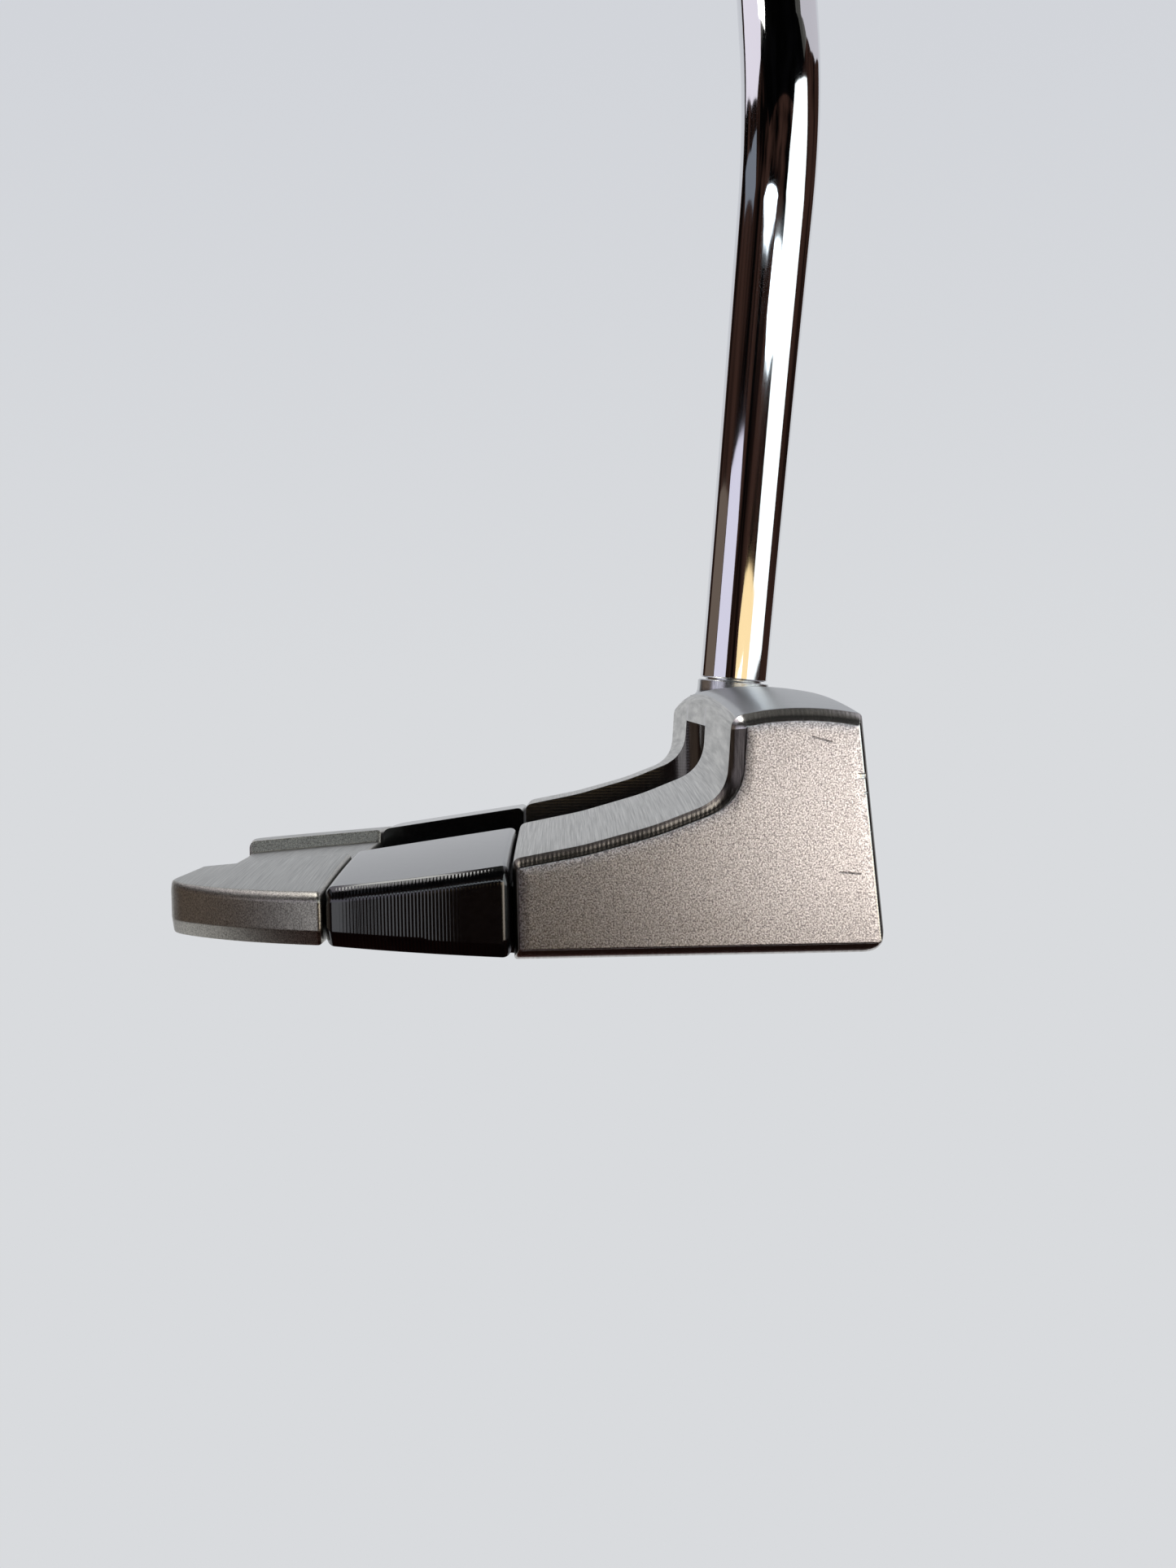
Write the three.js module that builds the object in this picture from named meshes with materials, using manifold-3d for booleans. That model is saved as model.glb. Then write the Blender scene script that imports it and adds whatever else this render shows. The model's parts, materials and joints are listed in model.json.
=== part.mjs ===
// A right-handed mallet putter: a milled steel front body with its topline, ramps and shaft post,
// a black aluminium sole frame with two wing blocks, a steel rear bar, a bent steel shaft and a grip.
// Millimetres. +X is the way the face points, +Y runs from the toe to the heel, +Z is up.
// The origin is the middle of the flat patch on the sole that the head rests on.
import * as THREE from 'three';
import { mergeVertices } from 'three/addons/utils/BufferGeometryUtils.js';
import Module from 'manifold-3d';

const wasm = await Module();
wasm.setup();

// Clearances between pieces, and how far a cutter runs past what it cuts
const seamGap = 0.3;
const overrun = 2;

// Head, seen from above
const headWidth = 104;
const faceReach = 31.85;
const toplineDepth = 13;
const rampLength = 21.5;
const wingLength = 19.6;
const rearLength = 19.1;
const rearHollow = 2.4;
const rearWidth = 61;
const rearCornerRadius = 2.5;
const pocketWidth = 37;
const pocketCornerRadius = 6;
const pocketUndercut = 1.7;

// Head, seen from the toe: heights at the middle of its width
const faceLoft = THREE.MathUtils.degToRad(4.7);
const toplineHeight = 27.15;
const toplineRadius = 29;
const wallLean = 0.65;
const wallFootHeight = 18;
const rampUpperHeight = 15.2;
const rampLowerHeight = 13.25;
const rampJointHeight = 11.9;
const pocketRoofHeight = 22.7;
const pocketFloorHeight = 3.8;
const wingFrontHeight = 11.65;
const wingRearHeight = 9;
const rearEdgeHeight = 7.75;
const valleyDepth = 1.5;
const valleyLean = 0.4;

// Crown of the top and camber of the sole from toe to heel, and the lift of the sole to the rear
const crownDrop = 2.2;
const wingCrownDrop = 1.7;
const soleFlatWidth = 36;
const soleCamber = 0.75;
const wingStep = 0.1;
const wingKick = 1.2;
const rearKick = 0.8;

// Edges
const leadingEdgeRadius = 2.8;
const faceTopRadius = 0.6;
const toplineRearRadius = 1.8;
const wallFootRadius = 5;
const rampBlendRadius = 30;
const rampEndRadius = 1;
const soleEdgeRadius = 0.6;
const topBevel = 1.1;
const wallBevel = 1.4;
const rampBevel = 0.9;
const faceBevel = 0.45;
const soleBevel = 1;
const wingBevel = 0.95;
const wingEndRadius = 0.6;
const rearBevel = 0.9;
const rearEdgeRadius = 0.9;

// Sole frame: the plate inside the front body and the tongue inside the rear bar
const plateTop = 7.2;
const plateSideWall = 6;
const faceWall = 6;
const slotHeight = 13.5;
const slotLength = 5.6;
const slotWeb = 16;
const slotCornerRadius = 1.5;
const tongueLength = 11;
const tongueWidth = 62;
const tongueTop = 4.2;
const recessCornerRadius = 3;

// Sight line
const sightLineWidth = 1.6;
const sightLineDepth = 0.5;
const sightLineMargin = 2;
const sightLinePlay = 0.05;

// Sole weights
const weightRadius = 7.5;
const weightTop = 4.7;
const weightFromSide = 11.7;
const weightPlace = 12;
const weightRecess = 0.25;
const weightChamfer = 0.5;
const weightSocket = 5;
const weightSocketDepth = 2.6;
const weightPlay = 0.1;

// Screws that join the three sections
const frontScrew = { radius: 2, headRadius: 3.6, rim: 0.3, top: 11, socket: 2.5, socketDepth: 2 };
const rearScrew = { radius: 1.5, headRadius: 2.8, rim: 0.3, top: 6.3, socket: 2, socketDepth: 1.5 };
const frontScrewFromSide = 18.7;
const frontScrewPlace = 0;
const centreScrewPlace = 21.4;
const rearScrewFromSide = 6;
const rearScrewSetback = 6;
const screwRecess = 0.15;
const screwGap = 0.1;

// Shaft post on the front body
const postPlace = 23.87;
const postFromHeel = 22;
const postHeight = 20;
const bossDiameter = 9.9;
const bossTopHeight = 27.8;
const bossFlare = 1;
const bossRoot = 5;

// Shaft
const tipDiameter = 9.42;
const bendDiameter = 11.35;
const buttDiameter = 15.2;
const tubeWall = 0.5;
const bondGap = 0.3;
const lowerLean = THREE.MathUtils.degToRad(6);
const lieFromUpright = THREE.MathUtils.degToRad(20);
const lowerLength = 65.5;
const bendRadius = 70;
const clubLength = 864;
const taperPower = 1.5;

// Grip
const gripLength = 267;
const gripTopWidth = 28;
const gripFootWidth = 20.5;
const gripFlatShare = 0.82;
const gripLip = 4;
const gripFootRadius = 1.5;
const pistolDepth = 4;
const pistolStartShare = 0.5;
const skinThickness = 1.7;
const capThickness = 4.5;
const capEdgeRadius = 1.5;
const spigotLength = 6;
const ventRadius = 1;

// Places that follow from the sizes above
const halfWidth = headWidth / 2;
const pocketHalf = pocketWidth / 2;
const faceTopHeight = toplineHeight - (toplineDepth / 2) ** 2 / (2 * toplineRadius);
const faceTopX = faceReach - faceTopHeight * Math.tan(faceLoft);
const wallTopX = faceTopX - toplineDepth;
const crestX = (faceTopX + wallTopX) / 2;
const wallFootX = wallTopX - wallLean;
const frontJointX = wallFootX - rampLength;
const rearJointX = frontJointX - wingLength;
const rearEdgeX = rearJointX - rearLength;
const pocketFrontX = wallTopX + pocketUndercut;
const plateFrontX = faceReach - faceWall - seamGap;
const plateHalf = halfWidth - plateSideWall - seamGap;
const sides = [{ half: 'toe', side: -1 }, { half: 'heel', side: 1 }];

// Where the shaft stands, the way its lower part leans, and how it bends to its lie
const bossTop = new THREE.Vector3(postPlace, halfWidth - postFromHeel, bossTopHeight);
const lowerDirection = new THREE.Vector3(Math.sin(lowerLean), 0, Math.cos(lowerLean));
const upperDirection = new THREE.Vector3(0, Math.sin(lieFromUpright), Math.cos(lieFromUpright));
const bendAxis = lowerDirection.clone().cross(upperDirection).normalize();
const bendAngle = lowerDirection.angleTo(upperDirection);
const bendEnd = lowerLength + bendRadius * bendAngle;
const shaftLength = clubLength - bossTopHeight - capThickness - 2 * seamGap;
const postRadius = tipDiameter / 2 - tubeWall - bondGap;
const boreTopRadius = buttDiameter / 2 - tubeWall;

// Finishes
const beadBlastedSteel = { color: 0xa8a09b, roughness: 0.45, metalness: 0.9 };
const blackAnodised = { color: 0x101113, roughness: 0.25, metalness: 0.6 };
const chrome = { color: 0xdfe2e4, roughness: 0.06, metalness: 1 };
const whiteEnamel = { color: 0xf0f0ec, roughness: 0.4, metalness: 0 };
const screwSteel = { color: 0x6f7276, roughness: 0.4, metalness: 0.9 };
const weightSteel = { color: 0x8d8f90, roughness: 0.35, metalness: 0.9 };
const blackFoam = { color: 0x1c1c1d, roughness: 0.9, metalness: 0 };
const blackPolyurethane = { color: 0x18191b, roughness: 0.65, metalness: 0 };
const blackRubber = { color: 0x0f0f10, roughness: 0.7, metalness: 0 };

// From a closed geometry to a solid that can be joined and cut, and back to a named mesh
function toSolid(geometry) {
  const bare = geometry.clone();
  bare.deleteAttribute('normal');
  bare.deleteAttribute('uv');
  const merged = mergeVertices(bare);
  return new wasm.Manifold(new wasm.Mesh({
    numProp: 3,
    vertProperties: new Float32Array(merged.attributes.position.array),
    triVerts: new Uint32Array(merged.index.array),
  }));
}

function toMesh(name, solid, finish) {
  const { vertProperties, triVerts } = solid.getMesh();
  const geometry = new THREE.BufferGeometry();
  geometry.setAttribute('position', new THREE.BufferAttribute(vertProperties, 3));
  geometry.setIndex(new THREE.BufferAttribute(triVerts, 1));
  geometry.computeVertexNormals();
  const mesh = new THREE.Mesh(geometry, new THREE.MeshStandardMaterial(finish));
  mesh.name = name;
  return mesh;
}

const cutAll = (solid, cutters) => cutters.reduce((left, cutter) => left.subtract(cutter), solid);

// A closed solid through rings of points, each with as many points as the next.
// Both ends are capped, apart from one that its ring has closed to a line.
function loft(rings, endPlane) {
  const closedArea = 0.01;
  const count = rings[0].length;
  const indices = [];
  for (let ring = 0; ring + 1 < rings.length; ring += 1) {
    for (let i = 0; i < count; i += 1) {
      const a = ring * count + i;
      const b = ring * count + (i + 1) % count;
      indices.push(a, b, b + count, a, b + count, a + count);
    }
  }
  const endTriangles = (ring) => {
    const outline = ring.map(endPlane);
    const closed = Math.abs(THREE.ShapeUtils.area(outline)) < closedArea;
    return closed ? [] : THREE.ShapeUtils.triangulateShape(outline, []);
  };
  const last = (rings.length - 1) * count;
  for (const [a, b, c] of endTriangles(rings[0])) indices.push(a, c, b);
  for (const [a, b, c] of endTriangles(rings[rings.length - 1])) indices.push(last + a, last + b, last + c);
  const geometry = new THREE.BufferGeometry();
  const positions = rings.flat().flatMap((p) => [p.x, p.y, p.z]);
  geometry.setAttribute('position', new THREE.Float32BufferAttribute(positions, 3));
  geometry.setIndex(indices);
  return toSolid(geometry);
}

const seenFromAbove = (p) => new THREE.Vector2(p.x, p.y);
const seenFromFront = (p) => new THREE.Vector2(p.y, p.z);
const seenFromHeel = (p) => new THREE.Vector2(p.z, p.x);

// An outline is a list of corners: each a point, with the radius that rounds it
const corner = (x, y, radius = 0) => ({ point: new THREE.Vector2(x, y), radius, round: radius > 0 });

// Moves each edge of a counter-clockwise outline inwards by its own distance
function insetOutline(corners, distances) {
  const count = corners.length;
  const edges = corners.map((start, i) => {
    const along = corners[(i + 1) % count].point.clone().sub(start.point).normalize();
    const inward = new THREE.Vector2(-along.y, along.x);
    return { along, from: start.point.clone().addScaledVector(inward, distances[i]) };
  });
  return corners.map(({ radius, round }, i) => {
    const before = edges[(i + count - 1) % count];
    const after = edges[i];
    const turn = before.along.cross(after.along);
    const reach = after.from.clone().sub(before.from).cross(after.along) / turn;
    const point = before.from.clone().addScaledVector(before.along, reach);
    return { point, radius: radius - Math.sign(turn) * distances[i], round };
  });
}

// Draws the outline with its rounded corners; a corner that an inset has used up keeps a trace of its arc
function drawOutline(corners, steps = 5) {
  const traceShare = 0.01;
  const roomShare = 0.49;
  const count = corners.length;
  return corners.flatMap(({ point, radius, round }, i) => {
    if (!round) return [point.clone()];
    const toBefore = corners[(i + count - 1) % count].point.clone().sub(point);
    const toAfter = corners[(i + 1) % count].point.clone().sub(point);
    const room = Math.min(toBefore.length(), toAfter.length());
    const halfAngle = toBefore.angleTo(toAfter) / 2;
    const wanted = radius / Math.tan(halfAngle);
    const setback = THREE.MathUtils.clamp(wanted, traceShare * room, roomShare * room);
    const start = point.clone().addScaledVector(toBefore.normalize(), setback);
    const end = point.clone().addScaledVector(toAfter.normalize(), setback);
    return new THREE.QuadraticBezierCurve(start, point, end).getPoints(steps);
  });
}

// A rectangle seen from above, with its front corners and its rear corners rounded
const rectangle = (rearX, frontX, lowY, highY, frontRadius = 0, rearRadius = 0) => [
  corner(rearX, lowY, rearRadius), corner(frontX, lowY, frontRadius),
  corner(frontX, highY, frontRadius), corner(rearX, highY, rearRadius),
];

// An upright block over an outline seen from above
function block(corners, low, high) {
  const outline = drawOutline(corners);
  const tier = (z) => outline.map((p) => new THREE.Vector3(p.x, p.y, z));
  return loft([tier(low), tier(high)], seenFromAbove);
}

// A round piece on an upright axis, from a profile of [radius, height] pairs
function turned(profile, segments, x = 0, y = 0) {
  const lathe = new THREE.LatheGeometry(profile.map(([r, h]) => new THREE.Vector2(r, h)), segments);
  lathe.rotateX(Math.PI / 2);
  lathe.translate(x, y, 0);
  return toSolid(lathe);
}

// Height of the sole: flat in the middle, cambered to both sides, and lifted to the rear
function soleAt(x, y) {
  const out = Math.max(0, Math.abs(y) - soleFlatWidth / 2) / (halfWidth - soleFlatWidth / 2);
  const wingShare = Math.max(0, (frontJointX - x) / wingLength);
  return soleCamber * out ** 2 + (x < rearJointX ? rearKick : wingKick * wingShare);
}

// Height of the tops behind the ramps: they fall to the rear, and over the crown to both sides
function wingTopAt(x, y) {
  const crown = (y / halfWidth) ** 2;
  const wing = THREE.MathUtils.mapLinear(x, rearJointX, frontJointX, wingRearHeight, wingFrontHeight);
  const rear = THREE.MathUtils.mapLinear(x, rearEdgeX, rearJointX, rearEdgeHeight, wingRearHeight);
  return x > rearJointX ? wing - wingCrownDrop * crown : rear - crownDrop * crown;
}

// Half width of the head behind the front joint: its side is one arc, tangent to the ramp's side
function sideAt(x) {
  const reach = frontJointX - rearEdgeX;
  const sweep = halfWidth - rearWidth / 2;
  const radius = (reach ** 2 + sweep ** 2) / (2 * sweep);
  return halfWidth - radius + Math.sqrt(radius ** 2 - Math.max(0, frontJointX - x) ** 2);
}

// How far a rounded edge draws a surface in, at a distance from the edge
const drawnIn = (radius, distance) => (
  distance < radius ? radius - Math.sqrt(radius ** 2 - (radius - distance) ** 2) : 0
);

const widthShares = [0.5, 0.68, 0.86];
const halfStations = [soleFlatWidth / 2, ...widthShares.map((share) => share * halfWidth)];

// The space below the sole, which is taken off the blanks of the sole frame
function belowSole() {
  const reach = halfWidth + overrun;
  const stations = [...halfStations, reach];
  const heelToToe = [...stations.toReversed(), ...stations.map((y) => -y)];
  const places = [rearEdgeX - overrun, rearJointX - seamGap, rearJointX, frontJointX, faceReach];
  const rings = places.map((x) => [
    new THREE.Vector3(x, -reach, -overrun), new THREE.Vector3(x, reach, -overrun),
    ...heelToToe.map((y) => new THREE.Vector3(x, y, soleAt(x, y))),
  ]);
  return loft(rings, seenFromFront);
}

// Side outline of the front body: each corner, and the bevel of the edge that starts there
function frontBodyEdges() {
  const crownShares = [0.25, 0.5, 0.75];
  const rampShares = [1 / 3, 2 / 3];
  const crown = crownShares.map((share) => {
    const x = THREE.MathUtils.lerp(faceTopX, wallTopX, share);
    return { at: corner(x, toplineHeight - (x - crestX) ** 2 / (2 * toplineRadius)), bevel: topBevel };
  });
  const ramp = [rampUpperHeight, rampLowerHeight].map((height, i) => ({
    at: corner(wallFootX - rampLength * rampShares[i], height, rampBlendRadius), bevel: rampBevel,
  }));
  return [
    { at: corner(frontJointX, 0, soleEdgeRadius), bevel: soleBevel },
    { at: corner(faceReach, 0, leadingEdgeRadius), bevel: faceBevel },
    { at: corner(faceTopX, faceTopHeight, faceTopRadius), bevel: topBevel },
    ...crown,
    { at: corner(wallTopX, faceTopHeight, toplineRearRadius), bevel: wallBevel },
    { at: corner(wallFootX, wallFootHeight, wallFootRadius), bevel: rampBevel },
    ...ramp,
    { at: corner(frontJointX, rampJointHeight, rampEndRadius), bevel: faceBevel },
  ];
}

// The front body before anything is cut from it, as slices from the toe to the heel
function frontBodyBlank() {
  const edges = frontBodyEdges();
  const corners = edges.map(({ at }) => at);
  const full = drawOutline(corners).reverse();
  const bevelled = drawOutline(insetOutline(corners, edges.map(({ bevel }) => bevel))).reverse();
  const out = [...halfStations, halfWidth - topBevel];
  const slices = [
    { y: -halfWidth, outline: bevelled },
    ...out.map((y) => ({ y: -y, outline: full })).reverse(),
    { y: 0, outline: full },
    ...out.map((y) => ({ y, outline: full })),
    { y: halfWidth, outline: bevelled },
  ];
  return loft(slices.map(({ y, outline }) => outline.map((p) => {
    const crown = crownDrop * (y / halfWidth) ** 2 * Math.sqrt(Math.max(0, p.y) / toplineHeight);
    const lift = soleAt(faceReach, y) * Math.max(0, 1 - p.y / rampJointHeight);
    return new THREE.Vector3(p.x, y, p.y - crown + lift);
  })), seenFromHeel);
}

// The post that the shaft is bonded over, with the shoulder that the shaft's end sits on
function shaftPost() {
  const bossRadius = bossDiameter / 2;
  const bossHeight = bossTopHeight - faceTopHeight;
  const lathe = new THREE.LatheGeometry([
    new THREE.Vector2(0, -bossHeight - bossRoot),
    new THREE.Vector2(bossRadius, -bossHeight - bossRoot),
    new THREE.Vector2(bossRadius + bossFlare, -bossHeight - bossFlare),
    new THREE.Vector2(bossRadius + bossFlare / 4, -bossHeight),
    new THREE.Vector2(bossRadius, bossFlare / 2 - bossHeight),
    new THREE.Vector2(bossRadius, 0),
    new THREE.Vector2(postRadius, 0),
    new THREE.Vector2(postRadius, postHeight),
    new THREE.Vector2(0, postHeight),
  ], 32);
  const upright = new THREE.Vector3(0, 1, 0);
  lathe.applyQuaternion(new THREE.Quaternion().setFromUnitVectors(upright, lowerDirection));
  lathe.translate(bossTop.x, bossTop.y, bossTop.z);
  return toSolid(lathe);
}

// Countersunk screws, head down in the sole
const screws = [
  { name: 'front_screw_centre', size: frontScrew, x: centreScrewPlace, y: 0 },
  ...sides.map(({ half, side }) => ({
    name: `front_screw_${half}`, size: frontScrew, x: frontScrewPlace,
    y: side * (plateHalf - frontScrewFromSide),
  })),
  ...sides.map(({ half, side }) => ({
    name: `rear_screw_${half}`, size: rearScrew, x: rearJointX - rearScrewSetback,
    y: side * (tongueWidth / 2 - rearScrewFromSide),
  })),
];

// The form of a screw from a low end upwards; its hole has the same form, larger by the gap
function screwForm({ size, x, y }, gap, low) {
  const seat = soleAt(x, y) + screwRecess;
  const headRadius = size.headRadius + gap;
  const radius = size.radius + gap;
  return turned([
    [0, low], [headRadius, low], [headRadius, seat + size.rim],
    [radius, seat + size.rim + size.headRadius - size.radius], [radius, size.top + gap], [0, size.top + gap],
  ], 24, x, y);
}

function screwSolid(screw) {
  const { size, x, y } = screw;
  const seat = soleAt(x, y) + screwRecess;
  const socket = turned([
    [0, -overrun], [size.socket / 2, -overrun],
    [size.socket / 2, seat + size.socketDepth], [0, seat + size.socketDepth],
  ], 6, x, y);
  return screwForm(screw, 0, seat).subtract(socket);
}

const screwHoles = screws.map((screw) => screwForm(screw, screwGap, -overrun));

// Steel front body: face, topline, two ramps, the pocket between them and the post for the shaft
function frontBody() {
  const recessHalf = plateHalf + seamGap;
  const recessFrontX = plateFrontX + seamGap;
  const pocket = block(
    rectangle(frontJointX - overrun, pocketFrontX, -pocketHalf, pocketHalf, pocketCornerRadius),
    -overrun, pocketRoofHeight,
  );
  const recess = block(
    rectangle(frontJointX - overrun, recessFrontX, -recessHalf, recessHalf, recessCornerRadius),
    -overrun, plateTop + seamGap,
  );
  const slots = sides.map(({ side }) => {
    const ends = [side * slotWeb / 2, side * (recessHalf - recessCornerRadius)].sort((a, b) => a - b);
    return block(
      rectangle(recessFrontX - slotLength, recessFrontX, ...ends, slotCornerRadius, slotCornerRadius),
      plateTop, plateTop + seamGap + slotHeight,
    );
  });
  return cutAll(frontBodyBlank().add(shaftPost()), [pocket, recess, ...slots, ...screwHoles]);
}

// Places along the length of a wing, close together at its rounded ends
function wingStations(rearX, frontX, rearRadii, frontRadius, count) {
  const roundShares = [0.15, 0.5, 1];
  const middle = Array.from({ length: count }, (_, i) => (i + 1) / (count + 1))
    .map((share) => THREE.MathUtils.lerp(rearX, frontX, share));
  const rear = rearRadii.flatMap((radius) => roundShares.map((share) => rearX + share * radius));
  const front = roundShares.map((share) => frontX - share * frontRadius);
  return [...new Set([rearX, ...rear, ...middle, ...front, frontX])].sort((a, b) => a - b);
}

// Cross-section of both wings at one place; floorAt gives the height of the top between them
function wingSection(x, inset, cornerInset, bevel, floorAt) {
  const wingShares = [0, 0.25, 0.5, 0.75, 1];
  const outer = sideAt(x) - inset - cornerInset;
  const wing = wingShares.map((share) => THREE.MathUtils.lerp(pocketHalf, outer - bevel, share));
  const places = [pocketHalf / 2, pocketHalf - valleyLean, ...wing];
  const topAt = (y) => (y < pocketHalf ? floorAt(x, y) : wingTopAt(x, y) - inset);
  const heel = [
    ...places.map((y) => [y, soleAt(x, y) + wingStep + inset]),
    [outer, soleAt(x, outer) + wingStep + inset + soleBevel],
    [outer, wingTopAt(x, outer) - inset - bevel],
    ...places.toReversed().map((y) => [y, topAt(y)]),
  ];
  const toe = heel.map(([y, z]) => [-y, z]).reverse();
  return [...heel, ...toe].map(([y, z]) => new THREE.Vector3(x, y, z));
}

// The line halfway up a wing section that its end closes to, so that a hollow end has upright strips
function closingLine(section) {
  const count = section.length / 2;
  const edgeStrip = count / 2 - 2;
  return section.map((_, i) => {
    const first = i < count ? 0 : count;
    const last = first + count - 1;
    const strip = Math.min(i - first, last - i, edgeStrip);
    return section[first + strip].clone().lerp(section[last - strip], 0.5);
  });
}

const weightCentre = (side) => [weightPlace, side * (plateHalf - weightFromSide)];

function weightHole(side) {
  const radius = weightRadius + weightPlay;
  const top = weightTop + weightPlay;
  return turned([[0, -overrun], [radius, -overrun], [radius, top], [0, top]], 48, ...weightCentre(side));
}

// Black aluminium sole frame: plate, wing blocks, pocket floor and the tongue under the rear bar
function soleFrame() {
  const rearX = rearJointX + seamGap;
  const frontX = frontJointX - seamGap;
  const wings = loft(wingStations(rearX, frontX, [wingEndRadius], wingEndRadius, 5).map((x) => {
    const inset = drawnIn(wingEndRadius, Math.min(x - rearX, frontX - x));
    return wingSection(x, inset, 0, wingBevel, (place, y) => wingTopAt(place, y) - inset);
  }), seenFromFront);
  const plate = block(
    rectangle(frontX - overrun, plateFrontX, -plateHalf, plateHalf, recessCornerRadius),
    -overrun / 2, plateTop,
  );
  const tongueHalf = tongueWidth / 2;
  const tongue = block(
    rectangle(rearJointX - tongueLength, rearX + overrun, -tongueHalf, tongueHalf, 0, recessCornerRadius),
    -overrun / 2, tongueTop,
  );
  const floorCut = block(
    rectangle(rearJointX, pocketFrontX, -pocketHalf, pocketHalf, pocketCornerRadius),
    pocketFloorHeight, wingFrontHeight + overrun,
  );
  const grooveHalf = sightLineWidth / 2;
  const groove = block(
    rectangle(rearX + sightLineMargin, pocketFrontX - sightLineMargin, -grooveHalf, grooveHalf),
    pocketFloorHeight - sightLineDepth, pocketFloorHeight + overrun,
  );
  const blank = wings.add(plate.subtract(belowSole())).add(tongue.subtract(belowSole()));
  return cutAll(blank, [floorCut, groove, ...screwHoles, ...sides.map(({ side }) => weightHole(side))]);
}

// A round weight in the sole, with a hexagonal socket and a chamfered lower edge
function soleWeight(side) {
  const centre = weightCentre(side);
  const low = soleAt(...centre) + weightRecess;
  const form = turned([
    [0, low], [weightRadius - weightChamfer, low], [weightRadius, low + weightChamfer],
    [weightRadius, weightTop], [0, weightTop],
  ], 48, ...centre);
  const socketRadius = weightSocket / 2;
  const socketTop = low + weightSocketDepth;
  const socket = turned([
    [0, -overrun], [socketRadius, -overrun], [socketRadius, socketTop], [0, socketTop],
  ], 6, ...centre);
  return form.subtract(socket);
}

// The enamel that fills the groove in the pocket floor
function sightLine() {
  const rearX = rearJointX + seamGap + sightLineMargin + sightLinePlay;
  const frontX = pocketFrontX - sightLineMargin - sightLinePlay;
  const half = sightLineWidth / 2 - sightLinePlay;
  const low = pocketFloorHeight - sightLineDepth + sightLinePlay;
  return block(rectangle(rearX, frontX, -half, half), low, pocketFloorHeight);
}

// How far the rear edge is drawn forward between its corners; the shift fades out towards the joint
function hollowAt(x, y) {
  const fromMiddle = y / (rearWidth / 2 - rearCornerRadius);
  return rearHollow * Math.max(0, 1 - fromMiddle ** 2) * ((rearJointX - x) / rearLength) ** 2;
}

// Steel rear bar: two wing ends, the shallow valley between them, and the recess for the tongue
function rearBar() {
  const stations = wingStations(rearEdgeX, rearJointX, [rearEdgeRadius, rearCornerRadius], wingEndRadius, 5);
  const sections = stations.map((x) => {
    const inset = drawnIn(rearEdgeRadius, x - rearEdgeX) + drawnIn(wingEndRadius, rearJointX - x);
    const cornerInset = drawnIn(rearCornerRadius, x - rearEdgeX);
    const valleyAt = (place, y) => wingTopAt(place, y) - valleyDepth - inset;
    const section = wingSection(x, inset, cornerInset, rearBevel, valleyAt);
    return section.map((p) => p.setX(x + hollowAt(x, p.y)));
  });
  const bar = loft([closingLine(sections[0]), ...sections], seenFromFront);
  const half = tongueWidth / 2 + seamGap;
  const recess = block(
    rectangle(rearJointX - tongueLength - seamGap, rearJointX + overrun, -half, half, 0, recessCornerRadius),
    -overrun, tongueTop + seamGap,
  );
  return cutAll(bar, [recess, ...screwHoles]);
}

// Centre and direction of the shaft at a distance from its tip
function shaftAt(distance) {
  const turn = THREE.MathUtils.clamp((distance - lowerLength) / bendRadius, 0, bendAngle);
  const toBend = bendAxis.clone().cross(lowerDirection);
  const centre = bossTop.clone()
    .addScaledVector(lowerDirection, seamGap + Math.min(distance, lowerLength))
    .addScaledVector(lowerDirection, bendRadius * Math.sin(turn))
    .addScaledVector(toBend, bendRadius * (1 - Math.cos(turn)))
    .addScaledVector(upperDirection, Math.max(0, distance - bendEnd));
  return { centre, along: lowerDirection.clone().applyAxisAngle(bendAxis, turn) };
}

function shaftRadiusAt(distance) {
  if (distance > bendEnd) {
    return THREE.MathUtils.mapLinear(distance, bendEnd, shaftLength, bendDiameter, buttDiameter) / 2;
  }
  return THREE.MathUtils.lerp(tipDiameter, bendDiameter, (distance / bendEnd) ** taperPower) / 2;
}

// Steel tube, turned as a straight one and then bent along its centre line
function shaft() {
  const lowerSteps = 7;
  const bendSteps = 12;
  const evenly = (from, to, steps) => Array.from(
    { length: steps }, (_, i) => THREE.MathUtils.lerp(from, to, i / steps),
  );
  const distances = [
    ...evenly(0, lowerLength, lowerSteps), ...evenly(lowerLength, bendEnd, bendSteps), bendEnd, shaftLength,
  ];
  const outside = distances.map((d) => new THREE.Vector2(shaftRadiusAt(d), d));
  const inside = distances.map((d) => new THREE.Vector2(shaftRadiusAt(d) - tubeWall, d)).reverse();
  const tube = new THREE.LatheGeometry([...outside, ...inside, outside[0].clone()], 32);
  const position = tube.attributes.position;
  for (let i = 0; i < position.count; i += 1) {
    const { centre, along } = shaftAt(position.getY(i));
    centre.addScaledVector(along.cross(bendAxis), position.getX(i));
    centre.addScaledVector(bendAxis, position.getZ(i));
    position.setXYZ(i, centre.x, centre.y, centre.z);
  }
  return toSolid(tube);
}

// Section of the grip at a share of its length: flat towards -Y, and fuller at the back near the top
function gripSection(share, inset) {
  const points = 32;
  const half = THREE.MathUtils.lerp(gripFootWidth, gripTopWidth, share) / 2;
  const back = half + pistolDepth * THREE.MathUtils.smoothstep(share, pistolStartShare, 1) - inset;
  const front = half * gripFlatShare - inset;
  return Array.from({ length: points }, (_, i) => {
    const angle = 2 * Math.PI * (i + 1 / 2) / points;
    const out = Math.sin(angle);
    const y = out > 0 ? back * out : Math.max((half - inset) * out, -front);
    return new THREE.Vector2((half - inset) * Math.cos(angle), y);
  });
}

const gripRing = (share, inset, height) => gripSection(share, inset)
  .map((p) => new THREE.Vector3(p.x, p.y, height));

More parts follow.
